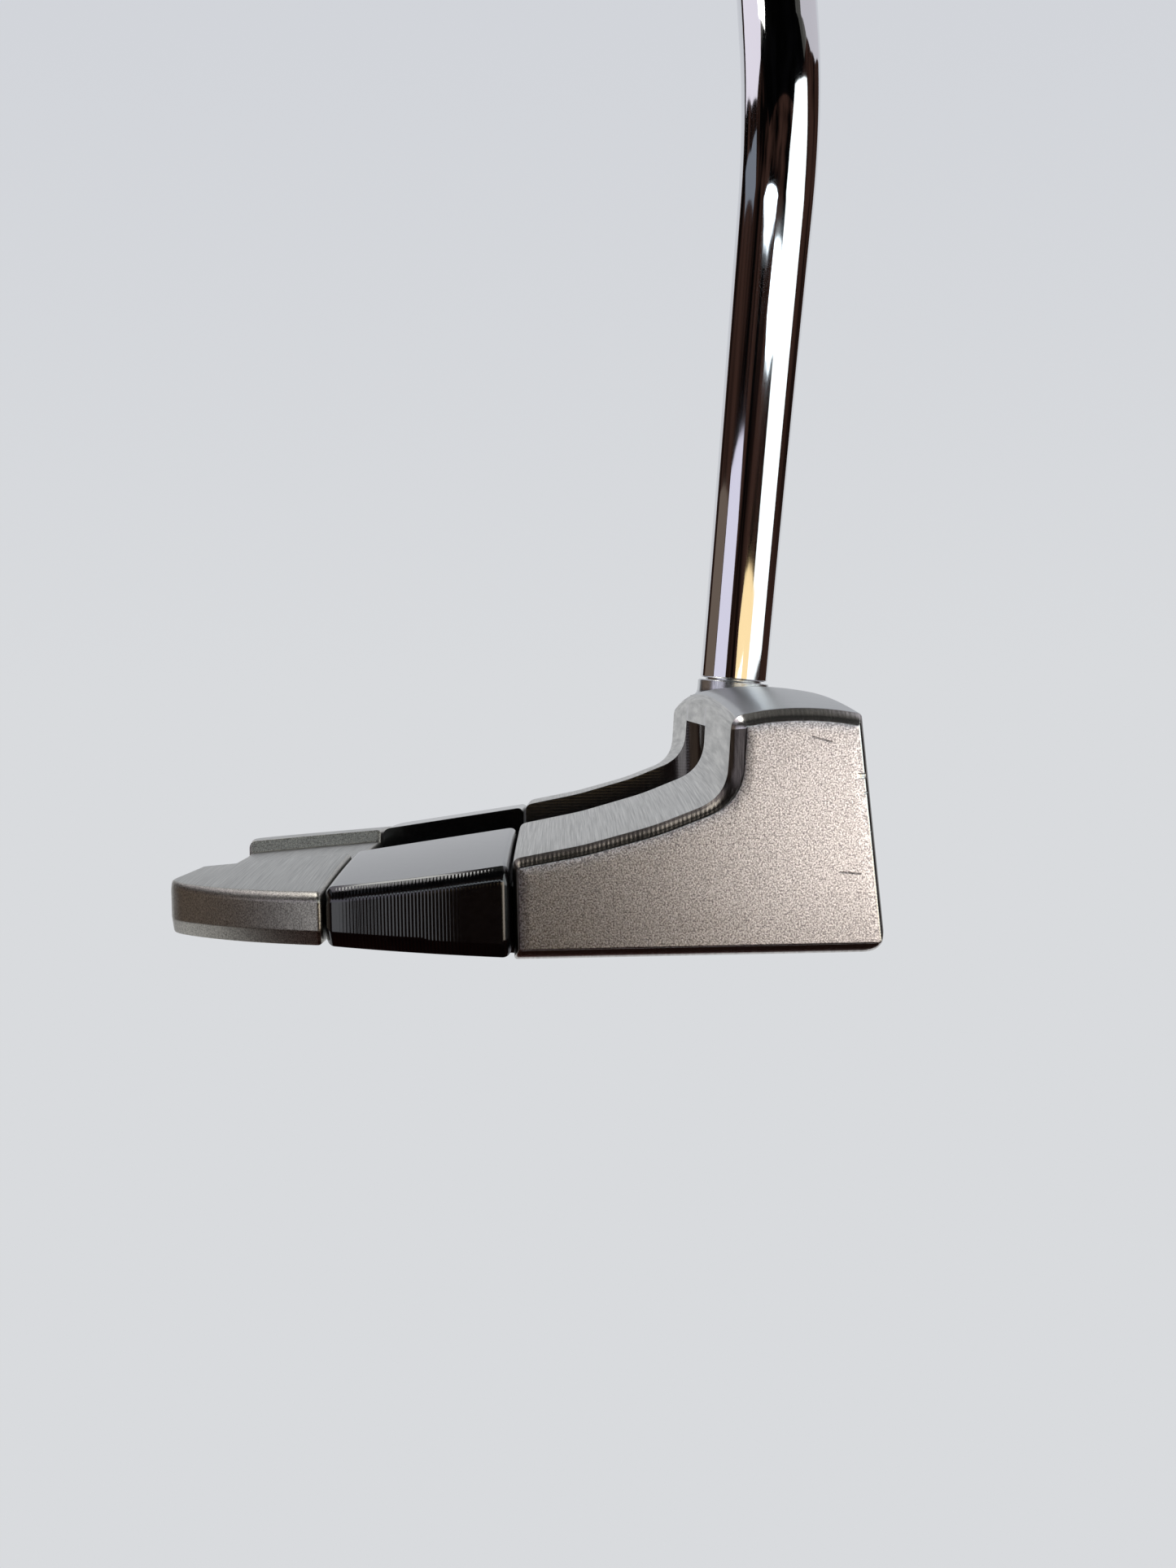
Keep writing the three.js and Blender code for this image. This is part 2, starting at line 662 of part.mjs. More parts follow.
// The grip's form between two heights above its foot, drawn in from the outside by an inset
function gripForm(low, high, inset, footRadius = 0) {
  const steps = 12;
  const shares = Array.from({ length: steps + 1 }, (_, i) => i / steps);
  const heights = shares.map((share) => THREE.MathUtils.lerp(low + footRadius, high, share));
  const rings = heights.map((height) => gripRing(Math.min(1, height / gripLength), inset, height));
  if (footRadius > 0) rings.unshift(gripRing(0, inset + footRadius, low));
  return loft(rings, seenFromAbove);
}

// The shaft's outside where it runs through the grip, with the bonding gap round it
function gripBore() {
  const footRadius = shaftRadiusAt(shaftLength - gripLength - overrun) + bondGap;
  const topRadius = shaftRadiusAt(shaftLength + overrun) + bondGap;
  return turned([
    [0, -overrun], [footRadius, -overrun], [topRadius, gripLength + overrun], [0, gripLength + overrun],
  ], 32);
}

function gripSkin() {
  const outside = gripForm(0, gripLength, 0, gripFootRadius);
  const inside = gripForm(gripLip, gripLength + overrun, skinThickness);
  return cutAll(outside, [inside, gripBore()]);
}

const gripCore = () => gripForm(gripLip + seamGap, gripLength, skinThickness + seamGap).subtract(gripBore());

function gripCap() {
  const low = gripLength + seamGap;
  const high = low + capThickness;
  const disc = loft([
    gripRing(1, 0, low), gripRing(1, 0, high - capEdgeRadius),
    gripRing(1, capEdgeRadius / 3, high - capEdgeRadius / 3), gripRing(1, capEdgeRadius, high),
  ], seenFromAbove);
  const spigotRadius = boreTopRadius - bondGap;
  const spigotLow = gripLength - spigotLength;
  const spigotHigh = high - capEdgeRadius;
  const spigot = turned([
    [0, spigotLow], [spigotRadius, spigotLow], [spigotRadius, spigotHigh], [0, spigotHigh],
  ], 32);
  const vent = turned([
    [0, -overrun], [ventRadius, -overrun], [ventRadius, high + overrun], [0, high + overrun],
  ], 16);
  return disc.add(spigot).subtract(vent);
}

// The grip in its own group, whose +Z runs up the shaft
function grip() {
  const group = new THREE.Group();
  group.position.copy(shaftAt(shaftLength - gripLength).centre);
  group.rotation.x = -lieFromUpright;
  group.add(toMesh('grip_core', gripCore(), blackFoam));
  group.add(toMesh('grip_skin', gripSkin(), blackPolyurethane));
  group.add(toMesh('grip_cap', gripCap(), blackRubber));
  return group;
}

const putter = new THREE.Group();
putter.add(toMesh('front_body', frontBody(), beadBlastedSteel));
putter.add(toMesh('sole_frame', soleFrame(), blackAnodised));
putter.add(toMesh('rear_bar', rearBar(), beadBlastedSteel));
putter.add(toMesh('sight_line', sightLine(), whiteEnamel));
for (const { half, side } of sides) {
  putter.add(toMesh(`sole_weight_${half}`, soleWeight(side), weightSteel));
}
for (const screw of screws) {
  putter.add(toMesh(screw.name, screwSolid(screw), screwSteel));
}
putter.add(toMesh('shaft', shaft(), chrome));
putter.add(grip());

export default putter;
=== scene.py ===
# %% [markdown]
# # A mallet putter, seen from the toe
# The real object is a golf putter: a milled head in three sections, a bent steel shaft and a
# rubber grip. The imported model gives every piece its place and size, so this lesson only adds what
# the eye judges: round edges, machined and blasted surfaces, chrome, and a quiet studio.

# %% Load the fixed frame
import json
import math
import bmesh
import bpy
import numpy as np
from mathutils import Matrix, Vector

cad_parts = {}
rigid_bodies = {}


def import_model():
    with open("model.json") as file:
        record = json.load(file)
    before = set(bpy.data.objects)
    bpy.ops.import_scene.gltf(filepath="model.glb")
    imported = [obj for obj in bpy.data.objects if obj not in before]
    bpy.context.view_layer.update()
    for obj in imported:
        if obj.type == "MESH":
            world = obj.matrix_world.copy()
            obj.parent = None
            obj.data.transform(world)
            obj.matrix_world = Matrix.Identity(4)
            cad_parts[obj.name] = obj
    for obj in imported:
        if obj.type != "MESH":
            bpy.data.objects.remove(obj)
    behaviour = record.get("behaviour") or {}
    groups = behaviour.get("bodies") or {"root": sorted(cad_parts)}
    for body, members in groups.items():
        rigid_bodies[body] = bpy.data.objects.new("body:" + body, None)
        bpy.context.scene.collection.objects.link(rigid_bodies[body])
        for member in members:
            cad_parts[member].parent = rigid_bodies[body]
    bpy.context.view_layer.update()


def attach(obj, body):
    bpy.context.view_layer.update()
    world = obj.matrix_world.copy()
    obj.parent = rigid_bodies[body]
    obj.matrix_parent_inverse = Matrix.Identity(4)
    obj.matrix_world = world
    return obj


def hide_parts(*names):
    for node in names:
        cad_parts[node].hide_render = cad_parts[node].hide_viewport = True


for leftover in list(bpy.data.objects):
    bpy.data.objects.remove(leftover)
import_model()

# %% [markdown]
# ## The camera
# The photo was taken from less than 20 cm away, a little above the head and turned 1.1 degrees.
# Such a near view can't be guessed from a preset: the place, the aim and the lens below come from
# lining up the edges of the model with the edges in the photo.

# %% Camera
PITCH, YAW, ROLL = (math.radians(angle) for angle in (2.875, 0.651, 1.1))
FOCAL_PIXELS, PHOTO_WIDTH = 2419, 1445
CAMERA_PLACE = Vector((0, -0.247, 0.0277))
forward = Vector((math.sin(YAW) * math.cos(PITCH), math.cos(YAW) * math.cos(PITCH), -math.sin(PITCH)))
level = Vector((math.cos(YAW), -math.sin(YAW), 0))
rising = level.cross(forward)
right = level * math.cos(ROLL) - rising * math.sin(ROLL)
up = level * math.sin(ROLL) + rising * math.cos(ROLL)
camera_data = bpy.data.cameras.new("photo_camera")
camera_data.sensor_fit = "HORIZONTAL"
camera_data.sensor_width = 36
camera_data.lens = camera_data.sensor_width * FOCAL_PIXELS / PHOTO_WIDTH
camera_data.clip_start = 0.01
camera = bpy.data.objects.new("photo_camera", camera_data)
bpy.context.scene.collection.objects.link(camera)
pose = Matrix((right, up, -forward)).transposed().to_4x4()
pose.translation = CAMERA_PLACE
camera.matrix_world = pose
bpy.context.scene.camera = camera
print("lens:", round(camera_data.lens, 2), "mm")

# %% [markdown]
# ## Sizes
# All lengths are millimetres, as on a workshop drawing, and one factor turns them into Blender's
# metres. They repeat the sizes of the model, so each piece lands on the solid it stands for. Only the
# sole's curve and some bevels follow the photo more closely here, by less than half a millimetre.

# %% Sizes of the head
MM = 0.001
HALF_WIDTH = 52
SEAM = 0.3
OVERRUN = 2
FACE_REACH, FACE_LOFT = 31.85, math.radians(4.7)
TOPLINE_HEIGHT, TOPLINE_DEPTH, TOPLINE_RADIUS = 27.15, 13, 29
RAMP_LENGTH, WING_LENGTH, REAR_LENGTH = 21.5, 19.6, 19.1
REAR_HOLLOW, REAR_WIDTH, REAR_CORNER = 2.4, 61, 2.5
POCKET_HALF, POCKET_CORNER, POCKET_UNDERCUT = 18.5, 6, 1.7
WALL_LEAN, WALL_FOOT_HEIGHT, RAMP_JOINT_HEIGHT = 0.65, 18, 11.9
POCKET_ROOF, POCKET_FLOOR = 22.7, 3.8
WING_FRONT_HEIGHT, WING_REAR_HEIGHT, REAR_EDGE_HEIGHT = 11.65, 9, 7.75
VALLEY_DEPTH, VALLEY_LEAN = 1.5, 0.4
CROWN_DROP, WING_CROWN_DROP = 2.2, 1.7
SOLE_FLAT, SOLE_CAMBER, WING_STEP, WING_KICK, REAR_KICK = 36, 0.5, 0.1, 1.2, 1.2
TOP_BEVEL, WALL_BEVEL, RAMP_BEVEL, FACE_BEVEL, SOLE_BEVEL = 1.1, 1.4, 0.9, 0.45, 1.45
WING_BEVEL, REAR_BEVEL, END_RADIUS, WING_END, REAR_EDGE_RADIUS = 0.95, 0.9, 0.6, 0.9, 0.9
WING_BEVEL_TALL = 1.5

face_top_z = TOPLINE_HEIGHT - (TOPLINE_DEPTH / 2) ** 2 / (2 * TOPLINE_RADIUS)
face_top_x = FACE_REACH - face_top_z * math.tan(FACE_LOFT)
wall_top_x = face_top_x - TOPLINE_DEPTH
crest_x = (face_top_x + wall_top_x) / 2
wall_foot_x = wall_top_x - WALL_LEAN
front_joint = wall_foot_x - RAMP_LENGTH
rear_joint = front_joint - WING_LENGTH
rear_edge = rear_joint - REAR_LENGTH
pocket_front = wall_top_x + POCKET_UNDERCUT
print("joints at x =", round(front_joint, 2), round(rear_joint, 2), "rear edge", round(rear_edge, 2))

# %% [markdown]
# ## The surfaces that the three sections share
# A real head is flat in the middle of its sole and curves up towards toe and heel, and its top is
# crowned. Written as functions of x and y, one set of rules shapes all three sections, so their
# surfaces meet at the seams.

# %% Sole, crown and side as functions
def sole_at(x, y):
    out = max(0, abs(y) - SOLE_FLAT / 2) / (HALF_WIDTH - SOLE_FLAT / 2)
    wing_share = max(0, (front_joint - x) / WING_LENGTH)
    return SOLE_CAMBER * out ** 2 + (REAR_KICK if x < rear_joint else WING_KICK * wing_share)


def wing_top_at(x, y):
    crown = (y / HALF_WIDTH) ** 2
    if x > rear_joint:
        share = (x - rear_joint) / WING_LENGTH
        return WING_REAR_HEIGHT + share * (WING_FRONT_HEIGHT - WING_REAR_HEIGHT) - WING_CROWN_DROP * crown
    share = (x - rear_edge) / REAR_LENGTH
    return REAR_EDGE_HEIGHT + share * (WING_REAR_HEIGHT - REAR_EDGE_HEIGHT) - CROWN_DROP * crown


def side_at(x):
    reach = front_joint - rear_edge
    sweep = HALF_WIDTH - REAR_WIDTH / 2
    radius = (reach ** 2 + sweep ** 2) / (2 * sweep)
    return HALF_WIDTH - radius + math.sqrt(radius ** 2 - max(0, front_joint - x) ** 2)


def hollow_at(x, y):
    from_middle = y / (REAR_WIDTH / 2 - REAR_CORNER)
    return REAR_HOLLOW * max(0, 1 - from_middle ** 2) * ((rear_joint - x) / REAR_LENGTH) ** 2


def drawn_in(radius, distance):
    return radius - math.sqrt(radius ** 2 - (radius - distance) ** 2) if distance < radius else 0


print("half width at the rear joint:", round(side_at(rear_joint), 2))

# %% [markdown]
# ## Meshes from sections
# A milled body is easiest to describe as a row of sections, like the frames of a boat. The helper
# skins neighbouring sections with quads and closes the ends, or leaves them where the row comes back
# to its first section, as on a tube. Many close sections cost nothing here and keep every curve smooth
# in a macro picture, where 12 pixels show one millimetre.

# %% Helpers that make meshes
def weld(mesh, distance, shortest):
    bmesh.ops.remove_doubles(mesh, verts=mesh.verts, dist=distance)
    bmesh.ops.dissolve_degenerate(mesh, edges=mesh.edges, dist=shortest)


def skin(name, rings):
    count = len(rings[0])
    mesh = bmesh.new()
    rows = [[mesh.verts.new([c * MM for c in point]) for point in ring] for ring in rings]
    for low, high in zip(rows, rows[1:]):
        for i in range(count):
            j = (i + 1) % count
            mesh.faces.new((low[i], low[j], high[j], high[i]))
    ends = [] if rings[0] == rings[-1] else [rows[0], rows[-1]]
    for end in ends:
        if len({tuple(round(c, 7) for c in v.co) for v in end}) > count / 2 + 1:
            mesh.faces.new(end)
    weld(mesh, 1e-7, 1e-8)
    bmesh.ops.recalc_face_normals(mesh, faces=mesh.faces)
    data = bpy.data.meshes.new(name)
    mesh.to_mesh(data)
    mesh.free()
    made = bpy.data.objects.new(name, data)
    bpy.context.scene.collection.objects.link(made)
    return made


def around(points, shift=0):
    return [2 * math.pi * (i + shift) / points for i in range(points)]


def turned(name, profile, centre=(0, 0), points=96):
    return skin(name, [[(centre[0] + r * math.cos(a), centre[1] + r * math.sin(a), z)
                        for a in around(points)] for r, z in profile])


def combine(body, other, operation):
    change = body.modifiers.new(operation, "BOOLEAN")
    change.operation = operation
    change.solver = "EXACT"
    change.object = other
    evaluated = body.evaluated_get(bpy.context.evaluated_depsgraph_get())
    result = bpy.data.meshes.new_from_object(evaluated)
    body.modifiers.clear()
    body.data = result
    bpy.data.objects.remove(other)


def cut(body, *tools):
    for tool in tools:
        combine(body, tool, "DIFFERENCE")
    return body


def smooth(piece, angle=32):
    mesh = bmesh.new()
    mesh.from_mesh(piece.data)
    weld(mesh, 3e-6, 3e-6)
    mesh.to_mesh(piece.data)
    mesh.free()
    piece.data.shade_smooth()
    piece.data.set_sharp_from_angle(angle=math.radians(angle))
    weighted = piece.modifiers.new("even_normals", "WEIGHTED_NORMAL")
    weighted.keep_sharp = True
    weighted.weight = 80
    return piece


# %% [markdown]
# ## Outlines with rounded corners
# The side outline of the front body is a list of corners, each with the radius that a cutter leaves
# and the width of the bevel that starts there. Insetting the outline by those widths gives the
# inner line of the bevel, and anything between the two lines is a mix of them.

# %% Helpers that draw outlines
ARC_STEPS = [(0, 1), (1, 6), (3, 12), (math.inf, 22)]


def corner(x, z, radius=0.0, bevel=0.0, sharpens=0.0, roll=1.3):
    steps = next(count for largest, count in ARC_STEPS if radius <= largest)
    return {"at": np.array([x, z], float), "radius": radius, "steps": steps, "bevel": bevel,
            "sharpens": sharpens, "roll": roll}


def inset(corners, rolled=0):
    corners = [dict(here, bevel=here["bevel"] + rolled * here["roll"]) for here in corners]
    moved = []
    for here, after in zip(corners, corners[1:] + corners[:1]):
        along = (after["at"] - here["at"]) / np.linalg.norm(after["at"] - here["at"])
        moved.append((along, here["at"] + here["bevel"] * np.array([-along[1], along[0]])))
    result = []
    for i, here in enumerate(corners):
        (before, start), (after, end) = moved[i - 1], moved[i]
        turn = before[0] * after[1] - before[1] * after[0]
        gap = end - start
        reach = (gap[0] * after[1] - gap[1] * after[0]) / turn
        radius = here["radius"] - here["sharpens"] - math.copysign(here["bevel"], turn)
        result.append(dict(here, at=start + reach * before, radius=radius))
    return result


def outline(corners):
    points = []
    for i, here in enumerate(corners):
        if here["steps"] == 1:
            points.append(here["at"])
            continue
        back = corners[i - 1]["at"] - here["at"]
        ahead = corners[(i + 1) % len(corners)]["at"] - here["at"]
        room = min(np.linalg.norm(back), np.linalg.norm(ahead))
        cosine = back @ ahead / (np.linalg.norm(back) * np.linalg.norm(ahead))
        wanted = here["radius"] / math.tan(math.acos(cosine) / 2)
        setback = min(max(wanted, 0.01 * room), 0.49 * room)
        start = here["at"] + back / np.linalg.norm(back) * setback
        end = here["at"] + ahead / np.linalg.norm(ahead) * setback
        for t in np.linspace(0, 1, here["steps"] + 1):
            points.append((1 - t) ** 2 * start + 2 * t * (1 - t) * here["at"] + t ** 2 * end)
    return np.array(points)


def block(name, low_x, high_x, low_y, high_y, low_z, high_z, front_radius=0, rear_radius=0):
    drawn = outline([corner(low_x, low_y, rear_radius), corner(high_x, low_y, front_radius),
                     corner(high_x, high_y, front_radius), corner(low_x, high_y, rear_radius)])
    return skin(name, [[(x, y, z) for x, y in drawn] for z in (low_z, high_z)])


# %% [markdown]
# ## The screws and weights, and the holes they sit in
# Countersunk screws join the sections from below, and two turned weights sit in the sole. A hole is
# the same turned form as its screw, a tenth of a millimetre larger, so one profile makes both.

# %% Screws and weights
BODY_WALL = 6
PLATE_TOP, PLATE_LOW, PLATE_CORNER = 7.2, -1, 3
PLATE_HALF, PLATE_FRONT = HALF_WIDTH - BODY_WALL - SEAM, FACE_REACH - BODY_WALL - SEAM
TONGUE_LENGTH, TONGUE_HALF, TONGUE_TOP = 11, 31, 4.2
FRONT_SCREW = {"radius": 2, "head": 3.6, "rim": 0.3, "top": 11, "socket": 2.5, "depth": 2}
REAR_SCREW = {"radius": 1.5, "head": 2.8, "rim": 0.3, "top": 6.3, "socket": 2, "depth": 1.5}
CENTRE_SCREW_X, REAR_SCREW_X = 21.4, rear_joint - 6
FRONT_SCREW_Y, REAR_SCREW_Y, WEIGHT_Y = PLATE_HALF - 18.7, TONGUE_HALF - 6, PLATE_HALF - 11.7
SCREWS = {
    "front_screw_centre": (FRONT_SCREW, CENTRE_SCREW_X, 0),
    "front_screw_toe": (FRONT_SCREW, 0, -FRONT_SCREW_Y),
    "front_screw_heel": (FRONT_SCREW, 0, FRONT_SCREW_Y),
    "rear_screw_toe": (REAR_SCREW, REAR_SCREW_X, -REAR_SCREW_Y),
    "rear_screw_heel": (REAR_SCREW, REAR_SCREW_X, REAR_SCREW_Y),
}
WEIGHTS = {"sole_weight_toe": -WEIGHT_Y, "sole_weight_heel": WEIGHT_Y}
WEIGHT_RADIUS, WEIGHT_TOP, WEIGHT_X = 7.5, 4.7, 12
WEIGHT_DISH, DISH_DEPTH, WEIGHT_SOCKET, WEIGHT_SOCKET_DEPTH = 4.6, 0.35, 5, 2.6
SCREW_SUNK, WEIGHT_SUNK, HOLE_GAP = 0.15, 0.25, 0.1


def screw_form(name, screw, gap, low):
    size, x, y = screw
    seat = sole_at(x, y) + SCREW_SUNK
    profile = [(0, low), (size["head"] + gap, low), (size["head"] + gap, seat + size["rim"]),
               (size["radius"] + gap, seat + size["rim"] + size["head"] - size["radius"]),
               (size["radius"] + gap, size["top"] + gap), (0, size["top"] + gap)]
    return turned(name, profile, (x, y), 48)


def hexagon(name, centre, across, low, high):
    return turned(name, [(0, low), (across / 2, low), (across / 2, high), (0, high)], centre, 6)


def screw_holes():
    return [screw_form("hole", screw, HOLE_GAP, -OVERRUN) for screw in SCREWS.values()]


pieces = {}
for name, screw in SCREWS.items():
    size, x, y = screw
    seat = sole_at(x, y) + SCREW_SUNK
    made = screw_form(name + "_piece", screw, 0, seat)
    socket = hexagon("socket", (x, y), size["socket"], -OVERRUN, seat + size["depth"])
    pieces[name] = smooth(cut(made, socket))
for name, y in WEIGHTS.items():
    low = sole_at(WEIGHT_X, y) + WEIGHT_SUNK
    profile = [(0, low + DISH_DEPTH), (WEIGHT_DISH - 0.2, low + DISH_DEPTH), (WEIGHT_DISH, low),
               (WEIGHT_RADIUS - 0.5, low), (WEIGHT_RADIUS - 0.12, low + 0.16), (WEIGHT_RADIUS, low + 0.5),
               (WEIGHT_RADIUS, WEIGHT_TOP), (0, WEIGHT_TOP)]
    made = turned(name + "_piece", profile, (WEIGHT_X, y))
    socket = hexagon("socket", (WEIGHT_X, y), WEIGHT_SOCKET, -OVERRUN, low + WEIGHT_SOCKET_DEPTH)
    pieces[name] = smooth(cut(made, socket))
print("screws and weights:", len(pieces))

# %% [markdown]
# ## The front body
# The largest piece is milled from one block: face, topline, the wall behind it and two ramps, with a
# pocket between them. It is skinned from toe to heel. The bevel along its side isn't flat in the
# photo but slightly crowned, with soft lines where it meets its neighbours, so the mix between the
# two outlines follows a gentle bulge. Blasting also rounds the flat side off a little before the
# bevel begins, over 1.3 mm, but over only a quarter of one along the crisp edge above the sole.

# %% Front body: outline and slices
RAMP_HEIGHTS, RAMP_BLEND = (15.2, 13.25), 30


def front_corners():
    corners = [corner(front_joint, 0, 0.6, SOLE_BEVEL, roll=0.25),
               corner(FACE_REACH, 0, 2.8, FACE_BEVEL, 1.9),
               corner(face_top_x, face_top_z, 0.6, TOP_BEVEL)]
    for share in np.linspace(0.1, 0.76, 12):
        x = face_top_x - share * TOPLINE_DEPTH
        height = TOPLINE_HEIGHT - (x - crest_x) ** 2 / (2 * TOPLINE_RADIUS)
        corners.append(corner(x, height, 0, TOP_BEVEL))
    corners.append(corner(wall_top_x, face_top_z, 1.8, WALL_BEVEL))
    corners.append(corner(wall_foot_x, WALL_FOOT_HEIGHT, 5, RAMP_BEVEL))
    for step, height in enumerate(RAMP_HEIGHTS, 1):
        corners.append(corner(wall_foot_x - RAMP_LENGTH * step / 3, height, RAMP_BLEND, RAMP_BEVEL))
    corners.append(corner(front_joint, RAMP_JOINT_HEIGHT, 1, FACE_BEVEL))
    return corners


def bevel_steps(width, edge=0.12, bulge=0.07):
    steps = []
    for t in np.linspace(0, 1, 5):
        steps.append((t ** 2 * edge, 1 + (1 - t) ** 2 * edge / width - t ** 2 * edge / width))
    for t in np.linspace(0, 1, 8)[1:-1]:
        along = edge + t * (width - 2 * edge)
        lift = bulge * 4 * t * (1 - t)
        steps.append((along - lift, 1 - along / width - lift / width))
    for t in np.linspace(0, 1, 5):
        steps.append((width + (t ** 2 - (1 - t) ** 2) * edge, (1 - t) ** 2 * edge / width))
    return steps


def front_slices(roll_depth=0.09, roll_end=0.88):
    full = outline(front_corners())
    bevelled = outline(inset(front_corners()))
    rolled = outline(inset(front_corners(), 1))
    ends = [(roll_depth * t ** 2, rolled + t * (bevelled - rolled)) for t in np.linspace(0, roll_end, 9)]
    ends += [(roll_depth + depth, full + share * (bevelled - full))
             for depth, share in bevel_steps(TOP_BEVEL)[1:]]
    inner = HALF_WIDTH - ends[-1][0]
    slices = [(-HALF_WIDTH + depth, ring) for depth, ring in ends]
    slices += [(y, full) for y in np.linspace(-inner, inner, 44)[1:-1]]
    slices += [(HALF_WIDTH - depth, ring) for depth, ring in reversed(ends)]
    rings = []
    for y, drawn in slices:
        ring = []
        for x, z in drawn:
            crown = CROWN_DROP * (y / HALF_WIDTH) ** 2 * math.sqrt(max(0, z) / TOPLINE_HEIGHT)
            lift = sole_at(FACE_REACH, y) * max(0, 1 - z / RAMP_JOINT_HEIGHT)
            ring.append((x, y, z - crown + lift))
        rings.append(ring)
    return rings


front_body = skin("front_body_piece", front_slices())
print("front body blank:", len(front_body.data.polygons), "faces")

# %% [markdown]
# The shaft is bonded over a post that leans towards the face. Its low round boss grows out of the
# topline in a small flare. It is turned upright, tilted, and then joined to the body.

# %% Front body: post
BOSS_TOP = Vector((23.87, HALF_WIDTH - 22, 27.8))
LOWER_LEAN, LIE = math.radians(6), math.radians(20)
TIP_DIAMETER, TUBE_WALL, POST_HEIGHT, POST_ROOT = 9.42, 0.5, 20, 5
POST_RADIUS, BOSS_RADIUS, BOSS_EDGE = TIP_DIAMETER / 2 - TUBE_WALL - SEAM, 9.9 / 2, 0.12
FLARE_DROP, FLARE_RISE = 1, 1.5
boss_height = BOSS_TOP.z - face_top_z
flare = [(BOSS_RADIUS + (1 - math.sin(a)) ** 1.6, -boss_height - FLARE_DROP + FLARE_RISE * (1 - math.cos(a)))
         for a in np.linspace(0.05, math.pi / 2, 9)]
post_profile = [(0, -boss_height - POST_ROOT), (BOSS_RADIUS, -boss_height - POST_ROOT), *flare,
                (BOSS_RADIUS, -BOSS_EDGE), (BOSS_RADIUS - BOSS_EDGE, 0), (POST_RADIUS, 0),
                (POST_RADIUS, POST_HEIGHT), (0, POST_HEIGHT)]
post = turned("post", post_profile)
lean = Matrix.Translation(BOSS_TOP * MM) @ Matrix.Rotation(LOWER_LEAN, 4, "Y")
post.data.transform(lean)
combine(front_body, post, "UNION")
print("post leans", round(math.degrees(LOWER_LEAN), 1), "degrees")

# %% [markdown]
# A cutter then hollows the body from below. Each hollow is cut by a block that reaches a little past
# the outside, so no thin film is left: the pocket, the recess for the frame's plate, two slots that
# save weight, and the screw holes.

# %% Front body: pocket, recess, slots and holes
recess_half, recess_front = PLATE_HALF + SEAM, PLATE_FRONT + SEAM
cut(front_body, block("pocket", front_joint - OVERRUN, pocket_front, -POCKET_HALF, POCKET_HALF,
                      -OVERRUN, POCKET_ROOF, POCKET_CORNER))
cut(front_body, block("recess", front_joint - OVERRUN, recess_front, -recess_half, recess_half,
                      -OVERRUN, PLATE_TOP + SEAM, PLATE_CORNER))
SLOT_INNER, SLOT_LENGTH, SLOT_HEIGHT, SLOT_CORNER = 8, 5.6, 13.5, 1.5
for side in (-1, 1):
    ends = sorted((side * SLOT_INNER, side * (recess_half - PLATE_CORNER)))
    cut(front_body, block("slot", recess_front - SLOT_LENGTH, recess_front, *ends, PLATE_TOP,
                          PLATE_TOP + SEAM + SLOT_HEIGHT, SLOT_CORNER, SLOT_CORNER))
cut(front_body, *screw_holes())
print("front body after the cuts:", len(front_body.data.polygons), "faces")

# %% [markdown]
# Use has left marks on the toe side: four nicks in the edge of the face and two hairline scratches.
# They are cut into the mesh instead of being painted on, so they catch the light from every side. A
# nick has a length along the side, a height above the sole and a width, and a scratch has its place,
# its length and the angle it is turned by.

# %% Front body: marks of use
NICKS = [(0.95, 18.15, 0.5), (0.6, 16.45, 0.2), (0.4, 12.6, 0.2), (0.4, 10.7, 0.25)]
SCRATCHES = [(25.5, 21.9, 2.1, 16), (28.2, 8.5, 2.1, 6)]
SCRATCH_DEPTH, SCRATCH_HALF = 0.06, 0.045
for length, z, width in NICKS:
    end_x = FACE_REACH - z * math.tan(FACE_LOFT) - FACE_BEVEL
    wedge = [(end_x - length, -HALF_WIDTH), (end_x, -HALF_WIDTH + 0.5 * length),
             (end_x, -HALF_WIDTH - 1), (end_x - length, -HALF_WIDTH - 1)]
    cut(front_body, skin("nick", [[(x, y, z + side * width / 2) for x, y in wedge] for side in (-1, 1)]))
for x, z, length, angle in SCRATCHES:
    scratch = block("scratch", -length / 2, length / 2, -HALF_WIDTH - 1, -HALF_WIDTH + SCRATCH_DEPTH,
                    -SCRATCH_HALF, SCRATCH_HALF)
    turn = Matrix.Rotation(math.radians(angle), 4, "Y")
    scratch.data.transform(Matrix.Translation((x * MM, 0, z * MM)) @ turn)
    cut(front_body, scratch)
pieces["front_body"] = smooth(front_body)
print("front body:", len(front_body.data.polygons), "faces")

# %% [markdown]
# ## The wings
# The black frame and the steel rear bar are one form cut in two: wings that narrow to the rear on an
# arc. Each section runs along the sole, up the side and back over the top. The ends of a wing are
# rounded by drawing the sections in along a quarter circle, which is why the sections crowd there.

# %% Sections of the wings
def quarter(radius, steps=7):
    return [radius * (1 - math.cos(math.pi / 2 * i / steps)) for i in range(steps + 1)]


def stations_between(start, end, first_radius, last_radius, middle=16):
    places = [start + d for d in quarter(first_radius)]
    places += list(np.linspace(start + first_radius, end - last_radius, middle)[1:-1])
    return places + [end - d for d in reversed(quarter(last_radius))]


